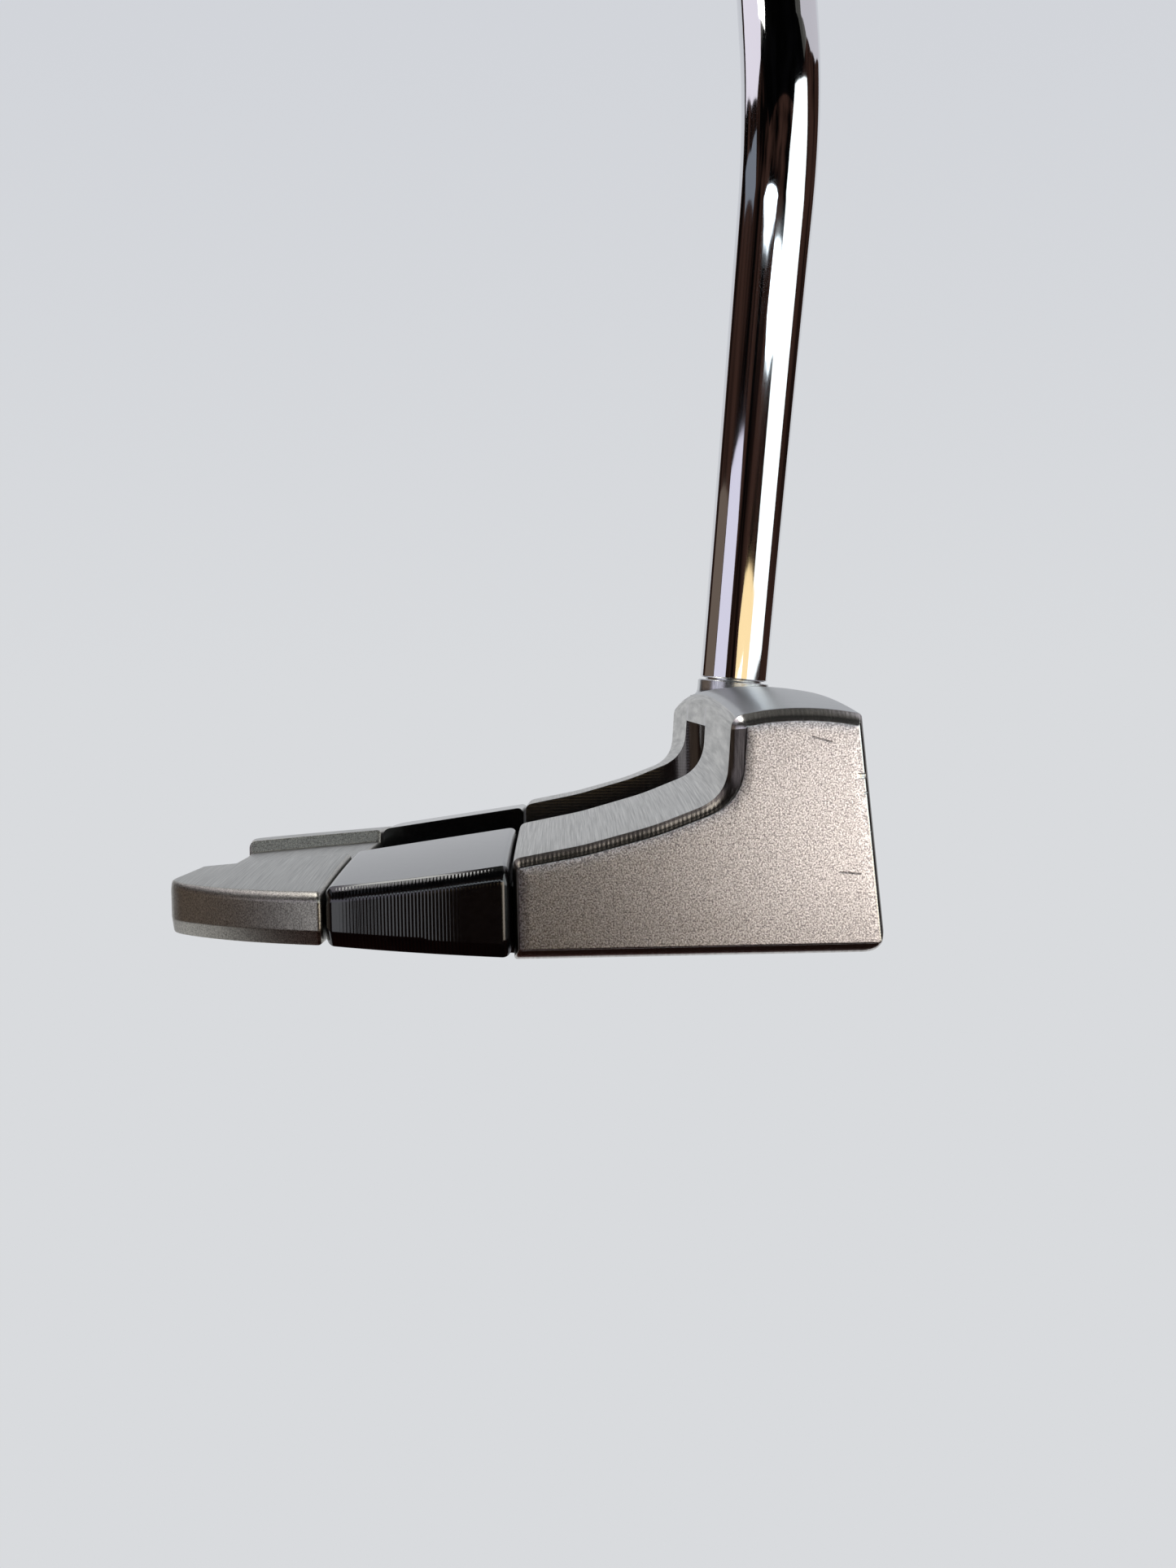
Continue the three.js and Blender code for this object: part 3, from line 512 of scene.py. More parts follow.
def wing_section(x, drawn, corner_drawn, bevel, valley=0, bulge=0.13, tall=1.0):
    outer = side_at(x) - drawn - corner_drawn
    edge = outer - bevel
    places = [POCKET_HALF / 2, POCKET_HALF - VALLEY_LEAN]
    places += [POCKET_HALF + share * (edge - POCKET_HALF) for share in np.linspace(0, 1, 11)]
    low = [(y, sole_at(x, y) + WING_STEP + drawn) for y in places]
    side_low = sole_at(x, outer) + WING_STEP + drawn + SOLE_BEVEL
    side_high = wing_top_at(x, outer) - drawn - bevel * tall
    crest = wing_top_at(x, edge) - drawn
    side = [(outer, side_low + share * (side_high - side_low)) for share in (0, 0.06, 0.5, 0.94, 1)]
    round_over = []
    for t in np.linspace(0, 1, 7)[1:-1]:
        lift = bulge * bevel * 4 * t * (1 - t)
        round_over.append((outer - t * bevel + lift, side_high + t * (crest - side_high) + lift))
    high = [(y, wing_top_at(x, y) - (valley if y < POCKET_HALF else 0) - drawn) for y in reversed(places)]
    heel = low + side + round_over + high
    toe = [(-y, z) for y, z in reversed(heel)]
    return [(x, y, z) for y, z in heel + toe], len(low)


rear_x, front_x = rear_joint + SEAM, front_joint - SEAM
rings = []
for x in stations_between(rear_x, front_x, WING_END, WING_END):
    drawn = drawn_in(WING_END, min(x - rear_x, front_x - x))
    rings.append(wing_section(x, drawn, 0, WING_BEVEL, tall=WING_BEVEL_TALL)[0])
sole_frame = skin("sole_frame_piece", rings)
print("wing sections:", len(rings), "with", len(rings[0]), "points each")

# %% [markdown]
# Under the wings lies the plate that the front body is screwed to, and behind them a short tongue for
# the rear bar. Both follow the cambered sole, so they are drawn as thick blocks and trimmed by the
# space below the sole. Then the pocket, the groove of the sight line and all holes are cut.

# %% Sole frame: plate, tongue and cuts
def below_sole():
    reach = HALF_WIDTH + OVERRUN
    across = np.linspace(reach, -reach, 61)
    places = [rear_edge - OVERRUN, rear_joint - SEAM, rear_joint, front_joint, FACE_REACH]
    return skin("below", [[(x, -reach, -OVERRUN), (x, reach, -OVERRUN)]
                          + [(x, y, sole_at(x, y)) for y in across] for x in places])


GROOVE_HALF, GROOVE_DEPTH, GROOVE_END = 0.8, 0.5, 2
plate = block("plate", front_x - OVERRUN, PLATE_FRONT, -PLATE_HALF, PLATE_HALF,
              PLATE_LOW, PLATE_TOP, PLATE_CORNER, PLATE_CORNER)
tongue = block("tongue", rear_joint - TONGUE_LENGTH, rear_x + OVERRUN, -TONGUE_HALF, TONGUE_HALF,
               PLATE_LOW, TONGUE_TOP, 0, PLATE_CORNER)
for part in (plate, tongue):
    combine(sole_frame, cut(part, below_sole()), "UNION")
cut(sole_frame, block("floor", rear_joint, pocket_front, -POCKET_HALF, POCKET_HALF,
                      POCKET_FLOOR, WING_FRONT_HEIGHT + OVERRUN, POCKET_CORNER))
cut(sole_frame, block("groove", rear_x + GROOVE_END, pocket_front - GROOVE_END, -GROOVE_HALF, GROOVE_HALF,
                      POCKET_FLOOR - GROOVE_DEPTH, POCKET_FLOOR + OVERRUN))
cut(sole_frame, *screw_holes())
hole_radius, hole_top = WEIGHT_RADIUS + HOLE_GAP, WEIGHT_TOP + HOLE_GAP
for y in WEIGHTS.values():
    cut(sole_frame, turned("hole", [(0, -OVERRUN), (hole_radius, -OVERRUN), (hole_radius, hole_top),
                                    (0, hole_top)], (WEIGHT_X, y)))
pieces["sole_frame"] = smooth(sole_frame)
print("sole frame:", len(sole_frame.data.polygons), "faces")

# %% [markdown]
# The sight line is enamel, poured into the groove and baked. It creeps up the groove's walls and dries
# a little hollow in the middle, so its top is a shallow trough and its ends are round.

# %% Sight line
LINE_GAP, LINE_HOLLOW, LINE_END, LINE_SUNK = 0.05, 0.12, 0.15, 0.02
line_half, line_bottom = GROOVE_HALF - LINE_GAP, POCKET_FLOOR - GROOVE_DEPTH + LINE_GAP
line_rear, line_front = rear_x + GROOVE_END + LINE_GAP, pocket_front - GROOVE_END - LINE_GAP
rings = []
for x in stations_between(line_rear, line_front, LINE_END, LINE_END, 2):
    high = POCKET_FLOOR - LINE_SUNK - drawn_in(LINE_END, min(x - line_rear, line_front - x))
    trough = [(x, y, high - LINE_HOLLOW * (1 - (y / line_half) ** 2))
              for y in np.linspace(-line_half, line_half, 9)]
    rings.append([(x, line_half, line_bottom), (x, -line_half, line_bottom)] + trough)
pieces["sight_line"] = smooth(skin("sight_line_piece", rings))
print("sight line:", round(line_front - line_rear, 1), "mm long")

# %% [markdown]
# ## The rear bar
# The steel bar closes the head. Its two wing ends stand above a shallow valley, and the rear edge is
# hollowed forward between them. The last section closes to a line halfway up, so the hollow end is
# made of upright strips that shade as one smooth curve.

# %% Rear bar
stations = stations_between(rear_edge, rear_joint, REAR_CORNER, END_RADIUS)
stations += [rear_edge + d for d in quarter(REAR_EDGE_RADIUS)]
rings = []
for x in sorted(set(stations)):
    drawn = drawn_in(REAR_EDGE_RADIUS, x - rear_edge) + drawn_in(END_RADIUS, rear_joint - x)
    corner_drawn = drawn_in(REAR_CORNER, x - rear_edge)
    section, lows = wing_section(x, drawn, corner_drawn, REAR_BEVEL, VALLEY_DEPTH)
    rings.append([(x + hollow_at(x, y), y, z) for _, y, z in section])
half = len(rings[0]) // 2
closing = []
for i in range(2 * half):
    first = 0 if i < half else half
    last = first + half - 1
    strip = min(i - first, last - i, lows - 1)
    closing.append(tuple((np.array(rings[0][first + strip]) + np.array(rings[0][last - strip])) / 2))
rear_bar = skin("rear_bar_piece", [closing] + rings)
cut(rear_bar, block("recess", rear_joint - TONGUE_LENGTH - SEAM, rear_joint + OVERRUN, -TONGUE_HALF - SEAM,
                    TONGUE_HALF + SEAM, -OVERRUN, TONGUE_TOP + SEAM, 0, PLATE_CORNER))
cut(rear_bar, *screw_holes())
pieces["rear_bar"] = smooth(rear_bar)
print("rear bar:", len(rear_bar.data.polygons), "faces")

# %% [markdown]
# ## The shaft
# A putter shaft is a drawn steel tube with thin walls, bent near the head so that the hands end up
# above the middle of the ball. It is a sweep: circles set across a centre line of a straight, an arc
# and a straight. Ninety-six points round make the chrome's reflections run as clean lines.

# %% Shaft
LOWER_LENGTH, BEND_RADIUS, CLUB_LENGTH, CAP_THICKNESS = 65.5, 70, 864, 4.5
BEND_DIAMETER, BUTT_DIAMETER = 11.35, 15.2
lower = Vector((math.sin(LOWER_LEAN), 0, math.cos(LOWER_LEAN)))
upper = Vector((0, math.sin(LIE), math.cos(LIE)))
bend_axis = lower.cross(upper).normalized()
bend_angle = lower.angle(upper)
bend_end = LOWER_LENGTH + BEND_RADIUS * bend_angle
shaft_length = CLUB_LENGTH - BOSS_TOP.z - CAP_THICKNESS - 2 * SEAM


def shaft_at(distance):
    turn = min(max((distance - LOWER_LENGTH) / BEND_RADIUS, 0), bend_angle)
    centre = BOSS_TOP + lower * (SEAM + min(distance, LOWER_LENGTH) + BEND_RADIUS * math.sin(turn))
    centre += bend_axis.cross(lower) * BEND_RADIUS * (1 - math.cos(turn))
    centre += upper * max(0, distance - bend_end)
    return centre, Matrix.Rotation(turn, 3, bend_axis) @ lower


def shaft_radius(distance):
    if distance > bend_end:
        share = (distance - bend_end) / (shaft_length - bend_end)
        return (BEND_DIAMETER + (BUTT_DIAMETER - BEND_DIAMETER) * share) / 2
    return (TIP_DIAMETER + (BEND_DIAMETER - TIP_DIAMETER) * (distance / bend_end) ** 1.5) / 2


def shaft_ring(distance, radius, points=96):
    centre, along = shaft_at(distance)
    across = along.cross(bend_axis)
    return [tuple(centre + across * radius * math.cos(a) + bend_axis * radius * math.sin(a))
            for a in around(points)]


distances = [0.15, *np.linspace(1, LOWER_LENGTH, 24), *np.linspace(LOWER_LENGTH, bend_end, 30)[1:],
             *np.linspace(bend_end, shaft_length, 20)[1:]]
outside = [shaft_ring(0, shaft_radius(0) - BOSS_EDGE)] + [shaft_ring(d, shaft_radius(d)) for d in distances]
inside = [shaft_ring(d, shaft_radius(d) - TUBE_WALL) for d in reversed([0] + distances)]
shaft = skin("shaft_piece", outside + inside + outside[:1])
pieces["shaft"] = smooth(shaft)
print("shaft:", round(shaft_length, 1), "mm long, bend", round(math.degrees(bend_angle), 1), "degrees")

# %% [markdown]
# ## The grip
# The photo ends below the grip, so it is the common kind: a moulded skin with one flat side for the
# thumbs, fuller at the back of the hand, and a cap with a vent hole. Between skin and shaft lies a core
# of foam. All are swept from the same section rule as the solids, with enough points that the flat runs
# into the round without a crease.

# %% Grip: sections
GRIP_LENGTH, SKIN_THICKNESS, GRIP_LIP, GRIP_ROUND = 267, 1.7, 4, 1.5
GRIP_FOOT_WIDTH, GRIP_TOP_WIDTH, GRIP_BACK, GRIP_FLAT = 20.5, 28, 4, 0.82
grip_foot = shaft_at(shaft_length - GRIP_LENGTH)[0]
grip_place = Matrix.Translation(grip_foot * MM) @ Matrix.Rotation(-LIE, 4, "X")


def grip_ring(share, drawn, height, points=96):
    half = (GRIP_FOOT_WIDTH + (GRIP_TOP_WIDTH - GRIP_FOOT_WIDTH) * share) / 2
    late = min(max((share - 0.5) / 0.5, 0), 1)
    back = half + GRIP_BACK * late * late * (3 - 2 * late) - drawn
    flat = half * GRIP_FLAT - drawn
    ring = []
    for angle in around(points, 0.5):
        out = math.sin(angle)
        y = back * out if out > 0 else max((half - drawn) * out, -flat)
        ring.append(((half - drawn) * math.cos(angle), y, height))
    return ring


def round_ring(radius, height, points=96):
    return [(radius * math.cos(a), radius * math.sin(a), height) for a in around(points, 0.5)]


def bore_ring(height):
    return round_ring(shaft_radius(shaft_length - GRIP_LENGTH + height) + SEAM, height)


def make_grip_piece(name, rings):
    made = skin(name + "_piece", rings + rings[:1])
    made.data.transform(grip_place)
    pieces[name] = smooth(made, 40)


print("grip foot at", tuple(round(c, 4) for c in grip_place.translation))

# %% [markdown]
# The skin runs up its outside, back down its inside and closes round the bore. The cap has a plug that
# reaches into the open end of the shaft, and the core fills what is left between skin and shaft.

# %% Grip: skin, cap and core
foot = [grip_ring(0, GRIP_ROUND * (1 - math.sin(a)), GRIP_ROUND * (1 - math.cos(a)))
        for a in np.linspace(0, math.pi / 2, 7)]
body = [grip_ring(z / GRIP_LENGTH, 0, z) for z in np.linspace(GRIP_ROUND, GRIP_LENGTH, 61)[1:]]
lining = [grip_ring(z / GRIP_LENGTH, SKIN_THICKNESS, z) for z in np.linspace(GRIP_LENGTH, GRIP_LIP, 30)]
make_grip_piece("grip_skin", foot + body + lining + [bore_ring(GRIP_LIP), bore_ring(0)])
VENT_RADIUS, PLUG_RADIUS, PLUG_LENGTH = 1, 6.8, 6
cap_low = GRIP_LENGTH + SEAM
cap_high = cap_low + CAP_THICKNESS
plug_low = GRIP_LENGTH - PLUG_LENGTH
rim = [grip_ring(1, GRIP_ROUND * (1 - math.cos(a)), cap_high - GRIP_ROUND + GRIP_ROUND * math.sin(a))
       for a in np.linspace(0, math.pi / 2, 8)]
vent = [round_ring(radius, z) for radius, z in (
    (VENT_RADIUS + 0.25, cap_high), (VENT_RADIUS, cap_high - 0.25), (VENT_RADIUS, plug_low),
    (PLUG_RADIUS, plug_low), (PLUG_RADIUS, cap_low))]
make_grip_piece("grip_cap", [grip_ring(1, 0, cap_low)] + rim + vent)
core_heights = np.linspace(GRIP_LIP + SEAM, GRIP_LENGTH, 40)
core = [grip_ring(z / GRIP_LENGTH, SKIN_THICKNESS + SEAM, z) for z in core_heights]
make_grip_piece("grip_core", core + [bore_ring(z) for z in reversed(core_heights)])
print("grip pieces:", [name for name in pieces if name.startswith("grip")])

# %% [markdown]
# ## Colours and nodes
# Colours are written as the hex values that a paint program shows, and one function turns them into
# the linear numbers that light is worked out with. One more adds a node with its settings and links:
# an input takes a value, an output socket, or a node, which stands for its first output.

# %% Colour and node helpers
def colour(code):
    parts = [int(code[i:i + 2], 16) / 255 for i in (1, 3, 5)]
    return (*[c / 12.92 if c <= 0.04045 else ((c + 0.055) / 1.055) ** 2.4 for c in parts], 1)


def add(tree, kind, inputs=None, stops=None, **settings):
    made = tree.nodes.new("ShaderNode" + kind)
    for name, value in settings.items():
        setattr(made, name, value)
    for name, value in (inputs or {}).items():
        if isinstance(value, bpy.types.Node):
            value = value.outputs[0]
        if isinstance(value, bpy.types.NodeSocket):
            tree.links.new(value, made.inputs[name])
        else:
            made.inputs[name].default_value = value
    if stops:
        ramp = made.color_ramp
        while len(ramp.elements) < len(stops):
            ramp.elements.new(0.5)
        for element, (position, code) in zip(ramp.elements, stops):
            element.position = position
            element.color = colour(code)
    return made


def new_material(name):
    material = bpy.data.materials.new(name)
    material.use_nodes = True
    material.node_tree.nodes.clear()
    return material, material.node_tree


def millimetres(tree):
    place = add(tree, "TexCoord").outputs["Object"]
    return add(tree, "VectorMath", {0: place, "Scale": 1 / MM}, operation="SCALE")


def finish_material(material, surface):
    add(material.node_tree, "OutputMaterial", {"Surface": surface})
    return material


print("mid grey:", round(colour("#808080")[0], 3))

# %% [markdown]
# ## Bead-blasted stainless steel
# The sides of the head were blasted with glass beads. Each bead leaves a dent of a few hundredths of
# a millimetre, which scatters light, so the surface looks soft and faintly grainy instead of
# mirroring the room. The real dents are finer than a pixel: they are drawn 0.17 mm wide here.

# %% Bead-blasted steel
DENT, PATCH, EDGE_ROUNDING = 0.17, 14, 0.15


def blasted_steel(name, low, high, roughness, depth):
    material, tree = new_material(name)
    mm = millimetres(tree)
    grain = add(tree, "TexNoise", {"Vector": mm, "Scale": 1 / DENT, "Detail": 2, "Roughness": 0.8})
    patches = add(tree, "TexNoise", {"Vector": mm, "Scale": 1 / PATCH, "Detail": 2})
    edge = add(tree, "Bevel", {"Radius": EDGE_ROUNDING * MM}, samples=6)
    dents = add(tree, "Bump", {"Height": grain, "Normal": edge, "Strength": 1, "Distance": depth * MM})
    tint = add(tree, "ValToRGB", {"Fac": grain}, stops=[(0.38, low), (0.62, high)])
    rough = add(tree, "MapRange", {"Value": patches, "To Min": roughness - 0.02, "To Max": roughness + 0.02})
    return finish_material(material, add(tree, "BsdfPrincipled", {
        "Base Color": tint, "Metallic": 1, "Roughness": rough, "Normal": dents}))


blasted = blasted_steel("bead_blasted_stainless_steel", "#7e7b81", "#f0eef3", 0.3, 0.023)
print("made", blasted.name)

# %% [markdown]
# ## Milled steel
# The ramps, the bevels and the pocket show the path of the cutter: fine lines across the ramp, closer
# ones along the bevels. Milled steel is smoother than blasted steel, so it mirrors the dark room
# where it faces the camera and the pale wall where it faces up. A wave texture of scale 1 repeats every
# pi / 10 units, so WAVE divided by the real pitch of the lines gives its scale.

# %% Milled steel
WAVE = math.pi / 10


def milled_steel(name, low, high, roughness, pitch, depth, direction):
    material, tree = new_material(name)
    mm = millimetres(tree)
    lines = add(tree, "TexWave", {"Vector": mm, "Scale": WAVE / pitch,
                                  "Distortion": 0.6, "Detail": 2, "Detail Scale": 3},
                wave_type="BANDS", bands_direction=direction, wave_profile="SIN")
    stretch = {"X": (9, 0.08, 0.6), "Y": (0.35, 9, 0.6), "Z": (6, 6, 0.35)}[direction]
    drawn_out = add(tree, "VectorMath", {0: mm, 1: stretch}, operation="MULTIPLY")
    streaks = add(tree, "TexNoise", {"Vector": drawn_out, "Scale": 0.9, "Detail": 3, "Roughness": 0.65})
    mixed = add(tree, "Mix", {0: 0.5, 2: lines.outputs["Fac"], 3: streaks})
    edge = add(tree, "Bevel", {"Radius": EDGE_ROUNDING * MM}, samples=6)
    marks = add(tree, "Bump", {"Height": mixed, "Normal": edge, "Strength": 1, "Distance": depth * MM})
    tint = add(tree, "ValToRGB", {"Fac": streaks}, stops=[(0.3, low), (0.7, high)])
    return finish_material(material, add(tree, "BsdfPrincipled", {
        "Base Color": tint, "Metallic": 1, "Roughness": roughness, "Normal": marks}))


ramp_steel = milled_steel("fly_cut_steel", "#878580", "#d3d1cb", 0.32, 0.5, 0.025, "X")
rear_steel = milled_steel("fly_cut_rear_steel", "#797874", "#bbbab4", 0.32, 0.45, 0.015, "X")
# The side bevels use two copies of one milled steel: the dark tint is painted shade, the light tint painted
# light.
bevel_steel_painted_shade = milled_steel("milled_bevel_steel_painted_shade", "#4c4743", "#746e68", 0.26, 0.45, 0.014, "X")
bevel_steel_painted_light = milled_steel("milled_bevel_steel_painted_light", "#b4b1ae", "#dedad6", 0.26, 0.45, 0.006, "X")
# The nicks are real wear, but their near-white tint, brighter than any steel, is a painted glint.
fresh_steel_painted_glint = milled_steel("fresh_steel_of_the_nicks_painted_glint", "#ededeb", "#fcfcfa", 0.25, 0.3, 0.003, "Z")
topline_steel = milled_steel("satin_topline_steel", "#8f9091", "#b1b2b3", 0.28, 0.4, 0.006, "Y")
# The boss is turned steel; its tint, much brighter than the topline's, is a painted highlight.
boss_steel_painted_highlight = milled_steel("turned_boss_steel_painted_highlight", "#bcbdbe", "#e4e5e5", 0.25, 0.3, 0.004, "Z")
# The pocket's tint, darker than the ramps', is painted shade in the recess.
pocket_steel_painted_shade = milled_steel("milled_pocket_steel_painted_shade", "#5f5c59", "#817d7a", 0.2, 0.4, 0.006, "Z")
side_steel = blasted_steel("blasted_rear_steel", "#85827b", "#cac6bc", 0.34, 0.016)
print("made eight milled finishes")

# %% [markdown]
# ## Black anodised aluminium
# Anodising grows a glass-hard oxide layer, dyed black, over the milled aluminium. It looks black when
# seen straight on and pale when seen at a low angle, because the clear oxide reflects more and more
# there. So it is not a dark metal but a black body under a smooth layer with an IOR of 1.8. The
# cutter's marks on its sides fade out towards both seams.

# %% Anodised aluminium
def anodised(name, roughness, pitch, depth):
    material, tree = new_material(name)
    mm = millimetres(tree)
    lines = add(tree, "TexWave", {"Vector": mm, "Scale": WAVE / pitch, "Distortion": 0.3,
                                  "Detail": 1}, wave_type="BANDS", bands_direction="X")
    blotches = add(tree, "TexNoise", {"Vector": mm, "Scale": 1 / 0.6, "Detail": 3})
    edge = add(tree, "Bevel", {"Radius": 0.12 * MM}, samples=6)
    along = add(tree, "SeparateXYZ", {0: mm})
    fades = [add(tree, "MapRange", {"Value": along, "From Min": faint, "From Max": full, "To Min": 0.15})
             for faint, full in ((front_joint - 1, front_joint - 8), (rear_joint + 1, rear_joint + 4))]
    fading = add(tree, "Math", dict(enumerate(fades)), operation="MINIMUM")
    marks = add(tree, "Bump", {"Height": lines.outputs["Fac"], "Normal": edge,
                               "Strength": fading, "Distance": depth * MM})
    tint = add(tree, "ValToRGB", {"Fac": blotches}, stops=[(0.3, "#040405"), (0.7, "#0c0c0e")])
    rough = add(tree, "MapRange", {"Value": blotches, "To Min": roughness, "To Max": roughness + 0.05})
    return finish_material(material, add(tree, "BsdfPrincipled", {
        "Base Color": tint, "Metallic": 0, "IOR": 1.8, "Roughness": rough, "Normal": marks}))


black_smooth = anodised("black_anodised_aluminium", 0.11, 0.9, 0.0004)
black_milled = anodised("black_anodised_milled_side", 0.12, 0.36, 0.03)
print("made two anodised finishes")

# %% [markdown]
# ## Chrome, small steel parts, enamel and rubber
# Chrome plate is the smoothest surface of all: nearly no roughness, only the faint waves that
# polishing and bending leave. The turned weights show rings round their middle, the screws are plain
# satin steel, and the grip is matt rubber with a fine moulded grain.

# %% Chrome
chrome, tree = new_material("chrome_plated_steel")
mm = millimetres(tree)
waves = add(tree, "TexNoise", {"Vector": mm, "Scale": 1 / 9, "Detail": 2})
ripple = add(tree, "Bump", {"Height": waves, "Strength": 0.25, "Distance": 0.05 * MM})
haze = add(tree, "MapRange", {"Value": waves, "To Min": 0.03, "To Max": 0.06})
finish_material(chrome, add(tree, "BsdfPrincipled", {
    "Base Color": colour("#e6e6e8"), "Metallic": 1, "Roughness": haze, "Normal": ripple}))
print("made", chrome.name)

# %% Turned steel of weights and screws
def turned_steel(name, centre, low, high, pitch):
    material, tree = new_material(name)
    mm = millimetres(tree)
    local = add(tree, "VectorMath", {0: mm, 1: (centre[0], centre[1], 0)}, operation="SUBTRACT")
    rings = add(tree, "TexWave", {"Vector": local, "Scale": WAVE / pitch, "Detail": 1},
                wave_type="RINGS", rings_direction="Z")
    grooves = add(tree, "Bump", {"Height": rings.outputs["Fac"], "Strength": 0.3, "Distance": 0.01 * MM})
    tint = add(tree, "ValToRGB", {"Fac": rings.outputs["Fac"]}, stops=[(0.2, low), (0.8, high)])
    return finish_material(material, add(tree, "BsdfPrincipled", {
        "Base Color": tint, "Metallic": 1, "Roughness": 0.3, "Normal": grooves}))


small_steel = {name: turned_steel(name + "_steel", (x, y), "#85878b", "#a6a8ac", 0.3)
               for name, (_, x, y) in SCREWS.items()}
small_steel.update({name: turned_steel(name + "_steel", (WEIGHT_X, y), "#9c9c9e", "#c4c4c6", 0.25)
                    for name, y in WEIGHTS.items()})
print("made", len(small_steel), "turned finishes")

# %% Enamel, rubber and foam
def matt(name, low, high, grain, depth, roughness):
    material, tree = new_material(name)
    mm = millimetres(tree)
    texture = add(tree, "TexNoise", {"Vector": mm, "Scale": 1 / grain, "Detail": 3})
    bump = add(tree, "Bump", {"Height": texture, "Strength": 0.5, "Distance": depth * MM})
    tint = add(tree, "ValToRGB", {"Fac": texture}, stops=[(0.3, low), (0.7, high)])
    return finish_material(material, add(tree, "BsdfPrincipled", {
        "Base Color": tint, "Roughness": roughness, "Normal": bump}))


enamel = matt("white_enamel", "#e6e6e0", "#f2f2ee", 0.8, 0.02, 0.35)
foam = matt("closed_cell_foam", "#19191a", "#262627", 0.5, 0.15, 0.9)
rubber = matt("moulded_rubber", "#0f0f10", "#1a1a1b", 0.6, 0.04, 0.7)
polyurethane = matt("moulded_polyurethane", "#141517", "#202124", 0.7, 0.08, 0.6)
print("made four matt finishes")

# %% [markdown]
# ## Which finish goes where
# The front body has eight finishes. Each face is sorted by where it lies and which way it looks: sides
# blasted, ramps milled, topline satin. The side bevels are milled steel in two tints, painted shade in
# the middle and painted light at top and sole; the pocket's darker tint is painted shade, the boss's
# brighter tint a painted highlight, and the nicks' near-white tint a painted glint.
# Each part of a normal is the cosine of the face's angle to that axis: 1 looks straight along it.

# %% Finishes of the head
NICKS_FROM, RAMPS_FROM, TOPLINE_FROM, WINGS_FROM = 28, 9, 24, 25
# Between these heights the side bevel takes the dark copy with painted shade, above and below the light
# copy.
SHADED_BEVEL_FROM, SHADED_BEVEL_TO, SLACK = 3, 21.5, 0.1


def give(piece, materials, choose):
    piece.data.materials.clear()
    for material in materials:
        piece.data.materials.append(material)
    for face in piece.data.polygons:
        centre = face.center / MM
        face.material_index = materials.index(choose(centre, face.normal))


def front_finish(centre, normal):
    # Nick faces take the near-white steel: real wear with a painted glint.
    if centre.x > NICKS_FROM and normal.x > 0.2 and -normal.y > 0.75:
        return fresh_steel_painted_glint
    if abs(centre.y) > HALF_WIDTH - TOP_BEVEL - SLACK:
        if abs(normal.y) > 0.985:
            return blasted
        # Painted shade on the bevel between the two heights, painted light above and below them.
        return bevel_steel_painted_shade if SHADED_BEVEL_FROM < centre.z < SHADED_BEVEL_TO else bevel_steel_painted_light
    in_pocket = abs(centre.y) < POCKET_HALF + 0.01 and centre.x < pocket_front + SLACK
    # Pocket walls take the darker milled steel: painted shade in the recess.
    if in_pocket and centre.z < POCKET_ROOF + SLACK and abs(normal.z) < 0.2:
        return pocket_steel_painted_shade
    if centre.x < wall_top_x + 0.4 and normal.z > -0.2 and centre.z > RAMPS_FROM:
        return ramp_steel
    if centre.z > TOPLINE_FROM:
        beside = math.hypot(centre.x - BOSS_TOP.x, centre.y - BOSS_TOP.y)
        # Around the boss the topline gets the brighter tint, a painted highlight.
        return boss_steel_painted_highlight if beside < BOSS_RADIUS + 0.6 else topline_steel
    return blasted


def wing_finish(centre, normal):
    return black_milled if abs(normal.z) < 0.7 and abs(centre.y) > WINGS_FROM else black_smooth


def bar_finish(centre, normal):
    return side_steel if abs(normal.z) < 0.93 else rear_steel


give(pieces["front_body"], [blasted, bevel_steel_painted_shade, bevel_steel_painted_light, ramp_steel, topline_steel, boss_steel_painted_highlight,
                            pocket_steel_painted_shade, fresh_steel_painted_glint], front_finish)
give(pieces["sole_frame"], [black_smooth, black_milled], wing_finish)
give(pieces["rear_bar"], [side_steel, rear_steel], bar_finish)
plain = {"shaft": chrome, "sight_line": enamel, "grip_core": foam, "grip_skin": polyurethane,
         "grip_cap": rubber, **small_steel}
for name, material in plain.items():
    give(pieces[name], [material], lambda centre, normal, only=material: only)
print("finished", len(pieces), "pieces")

# %% [markdown]
# ## Handing the pieces to the frame
# Each piece rides on the one body of the putter and stands for its solid, which is hidden.

# %% Ride and replace
for name, piece in pieces.items():
    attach(piece, "root")
    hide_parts(name)
print("pieces in place:", sorted(pieces))

# %% [markdown]
# ## The studio
# The photo was taken in a dim room, in front of a pale wall, with a bright window to the right. The
# chrome shows that room like a map: dark brown walls behind the camera, the window as a wide white
# strip, a warm lamp low down and two small ceiling lamps. The same things stand here as real panels
# and lamps, out of the camera's sight, and the pale wall is the world. Rays from the camera, and those
# that metal mirrors, meet the wall's full colour, while the light it sheds on the putter is softer.

# %% Pale wall
def seen_or_mirrored(tree):
    path = add(tree, "LightPath").outputs
    shown = path["Is Camera Ray"]
    for kind in ("Is Glossy Ray", "Is Transmission Ray"):
        shown = add(tree, "Math", {0: shown, 1: path[kind]}, operation="MAXIMUM")
    return shown


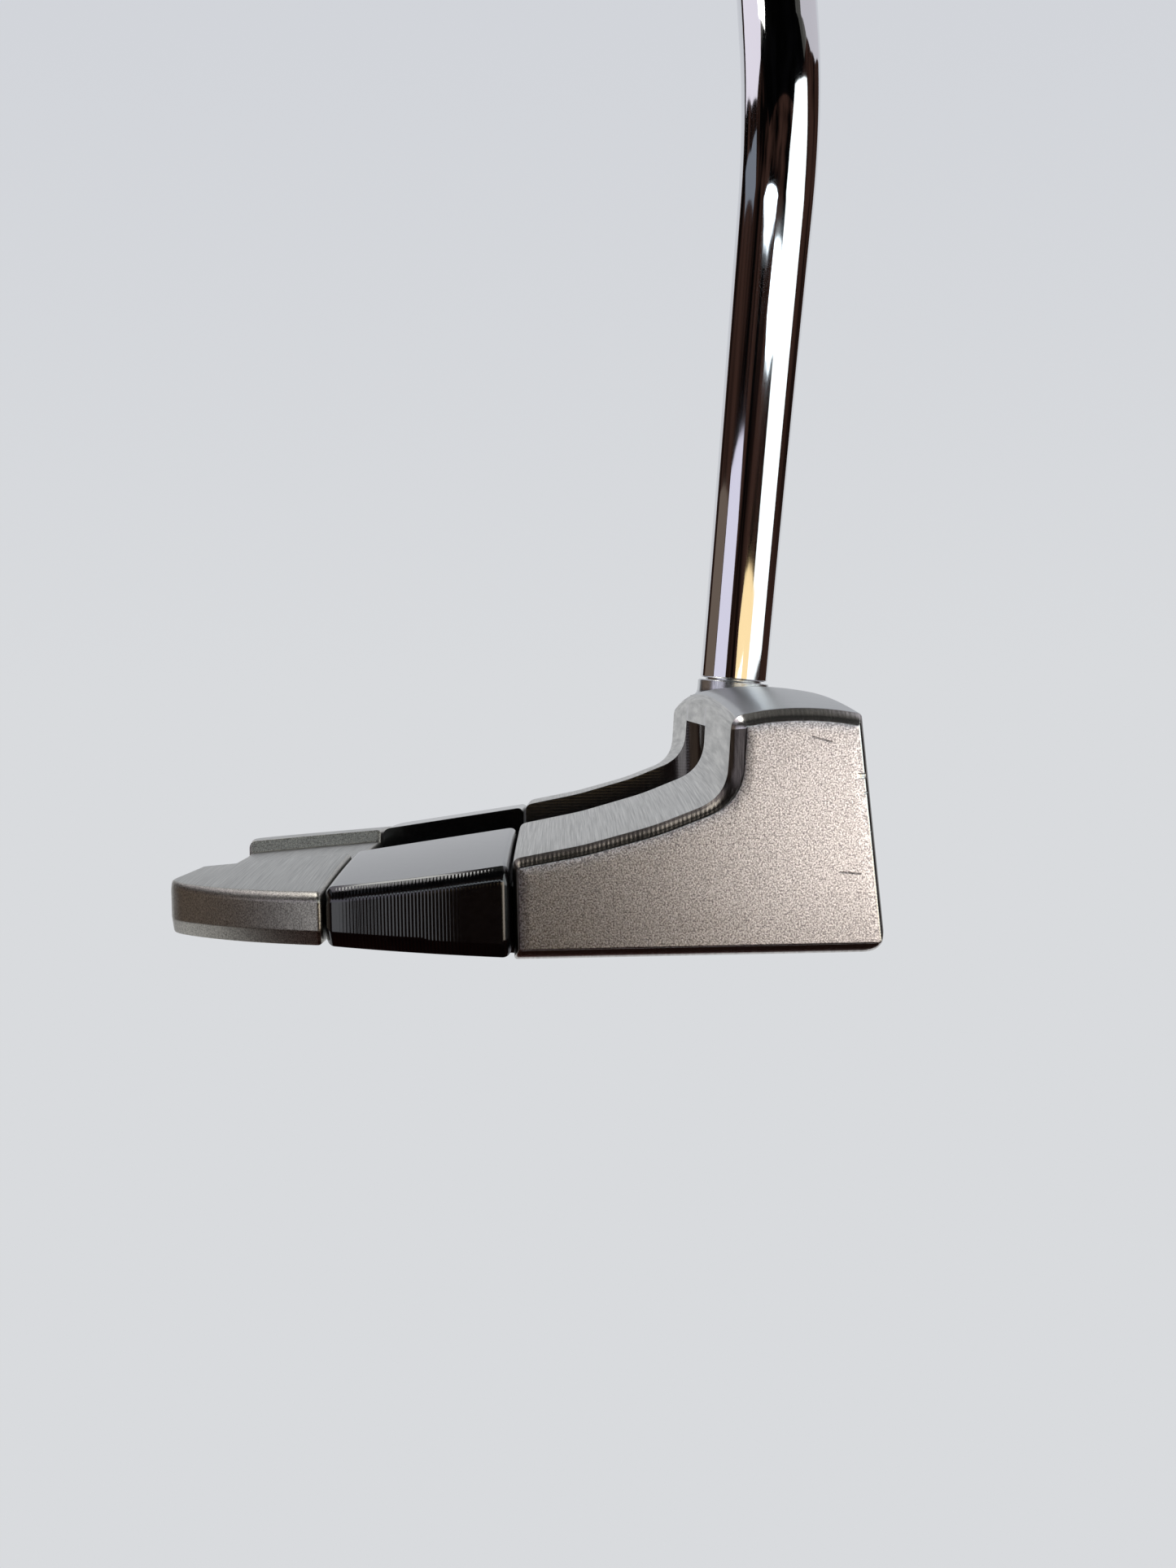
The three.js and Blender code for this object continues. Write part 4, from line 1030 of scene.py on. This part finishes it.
WALL_LOW, WALL_HIGH = "#d9dbde", "#ced1d8"
world = bpy.data.worlds.new("pale_wall")
bpy.context.scene.world = world
world.use_nodes = True
world.node_tree.nodes.clear()
tree = world.node_tree
height = add(tree, "SeparateXYZ", {0: add(tree, "TexCoord").outputs["Generated"]}).outputs["Z"]
rise = add(tree, "MapRange", {"Value": height, "From Max": 0.5})
wall = add(tree, "ValToRGB", {"Fac": rise}, stops=[(0, WALL_LOW), (1, WALL_HIGH)])
room_light = add(tree, "Background", {"Color": colour("#d8dade"), "Strength": 0.7})
view = add(tree, "Background", {"Color": wall, "Strength": 1})
mix = add(tree, "MixShader", {0: seen_or_mirrored(tree), 1: room_light, 2: view})
add(tree, "OutputWorld", {"Surface": mix})
print("wall", WALL_LOW, "to", WALL_HIGH)

# %% [markdown]
# The floor is painted as pale as the wall, in the same way. It and every sheet of the room are flat
# panels: a rectangle is given by two opposite corners, and the camera only sees the floor.

# %% Pale floor
def rectangle(low, high):
    first, second = (axis for axis in range(3) if low[axis] != high[axis])
    return [tuple(high[axis] if axis in raised else low[axis] for axis in range(3))
            for raised in ((), (first,), (first, second), (second,))]


def panel(name, corners, material, shown=False):
    data = bpy.data.meshes.new(name)
    data.from_pydata(corners, [], [tuple(range(len(corners)))])
    data.materials.append(material)
    made = bpy.data.objects.new(name, data)
    bpy.context.scene.collection.objects.link(made)
    made.visible_camera = shown


FLOOR_HALF, FLOOR_LOW = 9, -0.6
floor_paint, tree = new_material("pale_floor")
matt_floor = add(tree, "BsdfDiffuse", {"Color": colour("#dcdedf")})
glow = add(tree, "Emission", {"Color": colour(WALL_LOW), "Strength": 1})
finish_material(floor_paint, add(tree, "MixShader", {0: seen_or_mirrored(tree), 1: matt_floor, 2: glow}))
panel("floor", rectangle((-FLOOR_HALF, -FLOOR_HALF, FLOOR_LOW), (FLOOR_HALF, FLOOR_HALF, FLOOR_LOW)),
      floor_paint, shown=True)
print("floor at", FLOOR_LOW, "m")

# %% Dark room round the camera
def room_paint(name, low, high):
    material, tree = new_material(name)
    mm = millimetres(tree)
    shapes = add(tree, "TexNoise", {"Vector": mm, "Scale": 1 / 500, "Detail": 3})
    tint = add(tree, "ValToRGB", {"Fac": shapes}, stops=[(0.4, low), (0.62, high)])
    return finish_material(material, add(tree, "Emission", {"Color": tint, "Strength": 1}))


brown = room_paint("dark_brown_wall", "#050404", "#3a2822")
ceiling_grey = room_paint("dim_ceiling", "#454542", "#646360")
black = room_paint("unlit_ceiling", "#020202", "#060607")
red_mat = room_paint("dark_red_mat", "#170b08", "#3a1a14")
LEFT, RIGHT, BACK, BOTTOM, TOP = -1.3, 1.7, -1.6, -0.45, 1.3
UNLIT_TO, CEILING_TO, LEFT_TO, RIGHT_TO, MAT_TO = -0.45, 0.8, 1.6, 1.9, 0.15
ROOM = {
    "room_back": (brown, (LEFT, BACK, BOTTOM), (RIGHT, BACK, TOP)),
    "room_left": (brown, (LEFT, BACK, BOTTOM), (LEFT, LEFT_TO, TOP)),
    "room_right": (brown, (RIGHT, BACK, BOTTOM), (RIGHT, RIGHT_TO, TOP)),
    "room_ceiling": (ceiling_grey, (LEFT, UNLIT_TO, TOP), (RIGHT, CEILING_TO, TOP)),
    "unlit_ceiling": (black, (LEFT, BACK, TOP), (RIGHT, UNLIT_TO, TOP)),
    "room_mat": (red_mat, (LEFT, BACK, BOTTOM), (RIGHT, MAT_TO, BOTTOM)),
}
for name, (paint, low, high) in ROOM.items():
    panel(name, rectangle(low, high), paint)
print("room:", round(RIGHT - LEFT, 1), "m wide")

# %% [markdown]
# Every light is a flat sheet about a metre away. Its outline is given as the directions in which its
# corners lie, seen from the head: degrees to the right of the camera, and degrees up. One white card
# stands ten centimetres in front of the toe: it brightens the side towards the face.

# %% Window, lamps and other bright things
LIT_POINT = Vector((0.027, 0.025, 0.06))
LIGHTS = {
    "window": ("#f0f7f8", 1.6, [(36, -6), (92, -6), (88, 6), (84, 12), (82, 31), (62, 35), (41, 37),
                                (27, 23), (24, 14), (30, 6)]),
    "ceiling_lamp_left": ("#eaf6ff", 2.5, [(-42, 18.6), (-34, 20.6), (-20, 20), (-6, 18), (1, 15.4),
                                           (-2, 14), (-16, 14.4), (-30, 16)]),
    "ceiling_lamp_right": ("#eaf8ff", 3.0, [(-1, 10.8), (2, 12.8), (12, 12), (26, 10.2), (38, 9),
                                            (41, 7.6), (34, 6.2), (18, 7), (5, 8.6)]),
    "warm_lamp": ("#ffe2aa", 1.25, [(-3, 0.6), (2, 1.6), (12, 1), (26, -0.6), (40, -2.4), (40, -7),
                                    (4, -5)]),
    "white_cupboard": ("#dcdaec", 1.12, [(-78, 11.4), (-60, 11.8), (-42, 10.8), (-36, 7), (-34, 2),
                                         (-35, -1), (-78, -1)]),
    "cupboard_foot": ("#d4d6dc", 1.2, [(-64, -1), (-40, -1), (-40, -16), (-64, -16)]),
    "wooden_door": ("#98877a", 0.5, [(-124, 10), (-80, 10.5), (-80, -12), (-124, -12)]),
    "skylight": ("#f4f4f0", 5, [(-60, 48), (-90, 44), (-118, 44), (-118, 66), (-90, 69), (-64, 68)]),
    "grey_shelf": ("#747a84", 1.1, [(-122, 21.5), (-100, 25), (-82, 29), (-73, 22), (-75, 20),
                                    (-110, 20)]),
    "ceiling_left": ("#e4dfea", 1.15, [(-132, 23), (-104, 28.5), (-84, 32.5), (-74, 40), (-72, 68),
                                       (-136, 68)]),
    "ceiling_right": ("#e0dee6", 0.8, [(78, 46), (88, 38), (100, 32), (118, 26), (142, 21), (146, 60),
                                       (84, 66)]),
}


def direction(azimuth, elevation):
    turn, lift = math.radians(azimuth), math.radians(elevation)
    return Vector((math.sin(turn) * math.cos(lift), -math.cos(turn) * math.cos(lift), math.sin(lift)))


def light(name, code, strength, places):
    glowing, tree = new_material(name + "_light")
    lamp = add(tree, "Emission", {"Color": colour(code), "Strength": strength})
    panel(name, places, finish_material(glowing, lamp))


for name, (code, strength, corners) in LIGHTS.items():
    ways = [direction(*corner_way) for corner_way in corners]
    facing = sum(ways, Vector()).normalized()
    light(name, code, strength, [LIT_POINT + way / way.dot(facing) for way in ways])
CARD_LOW, CARD_HIGH = (0.03, -0.152, -0.014), (0.09, -0.152, 0.028)
light("white_card", "#fff2e2", 2.8, rectangle(CARD_LOW, CARD_HIGH))
print("lights:", len(LIGHTS) + 1)

# %% Plain colour view
bpy.context.scene.view_settings.view_transform = "Standard"
bpy.context.view_layer.update()
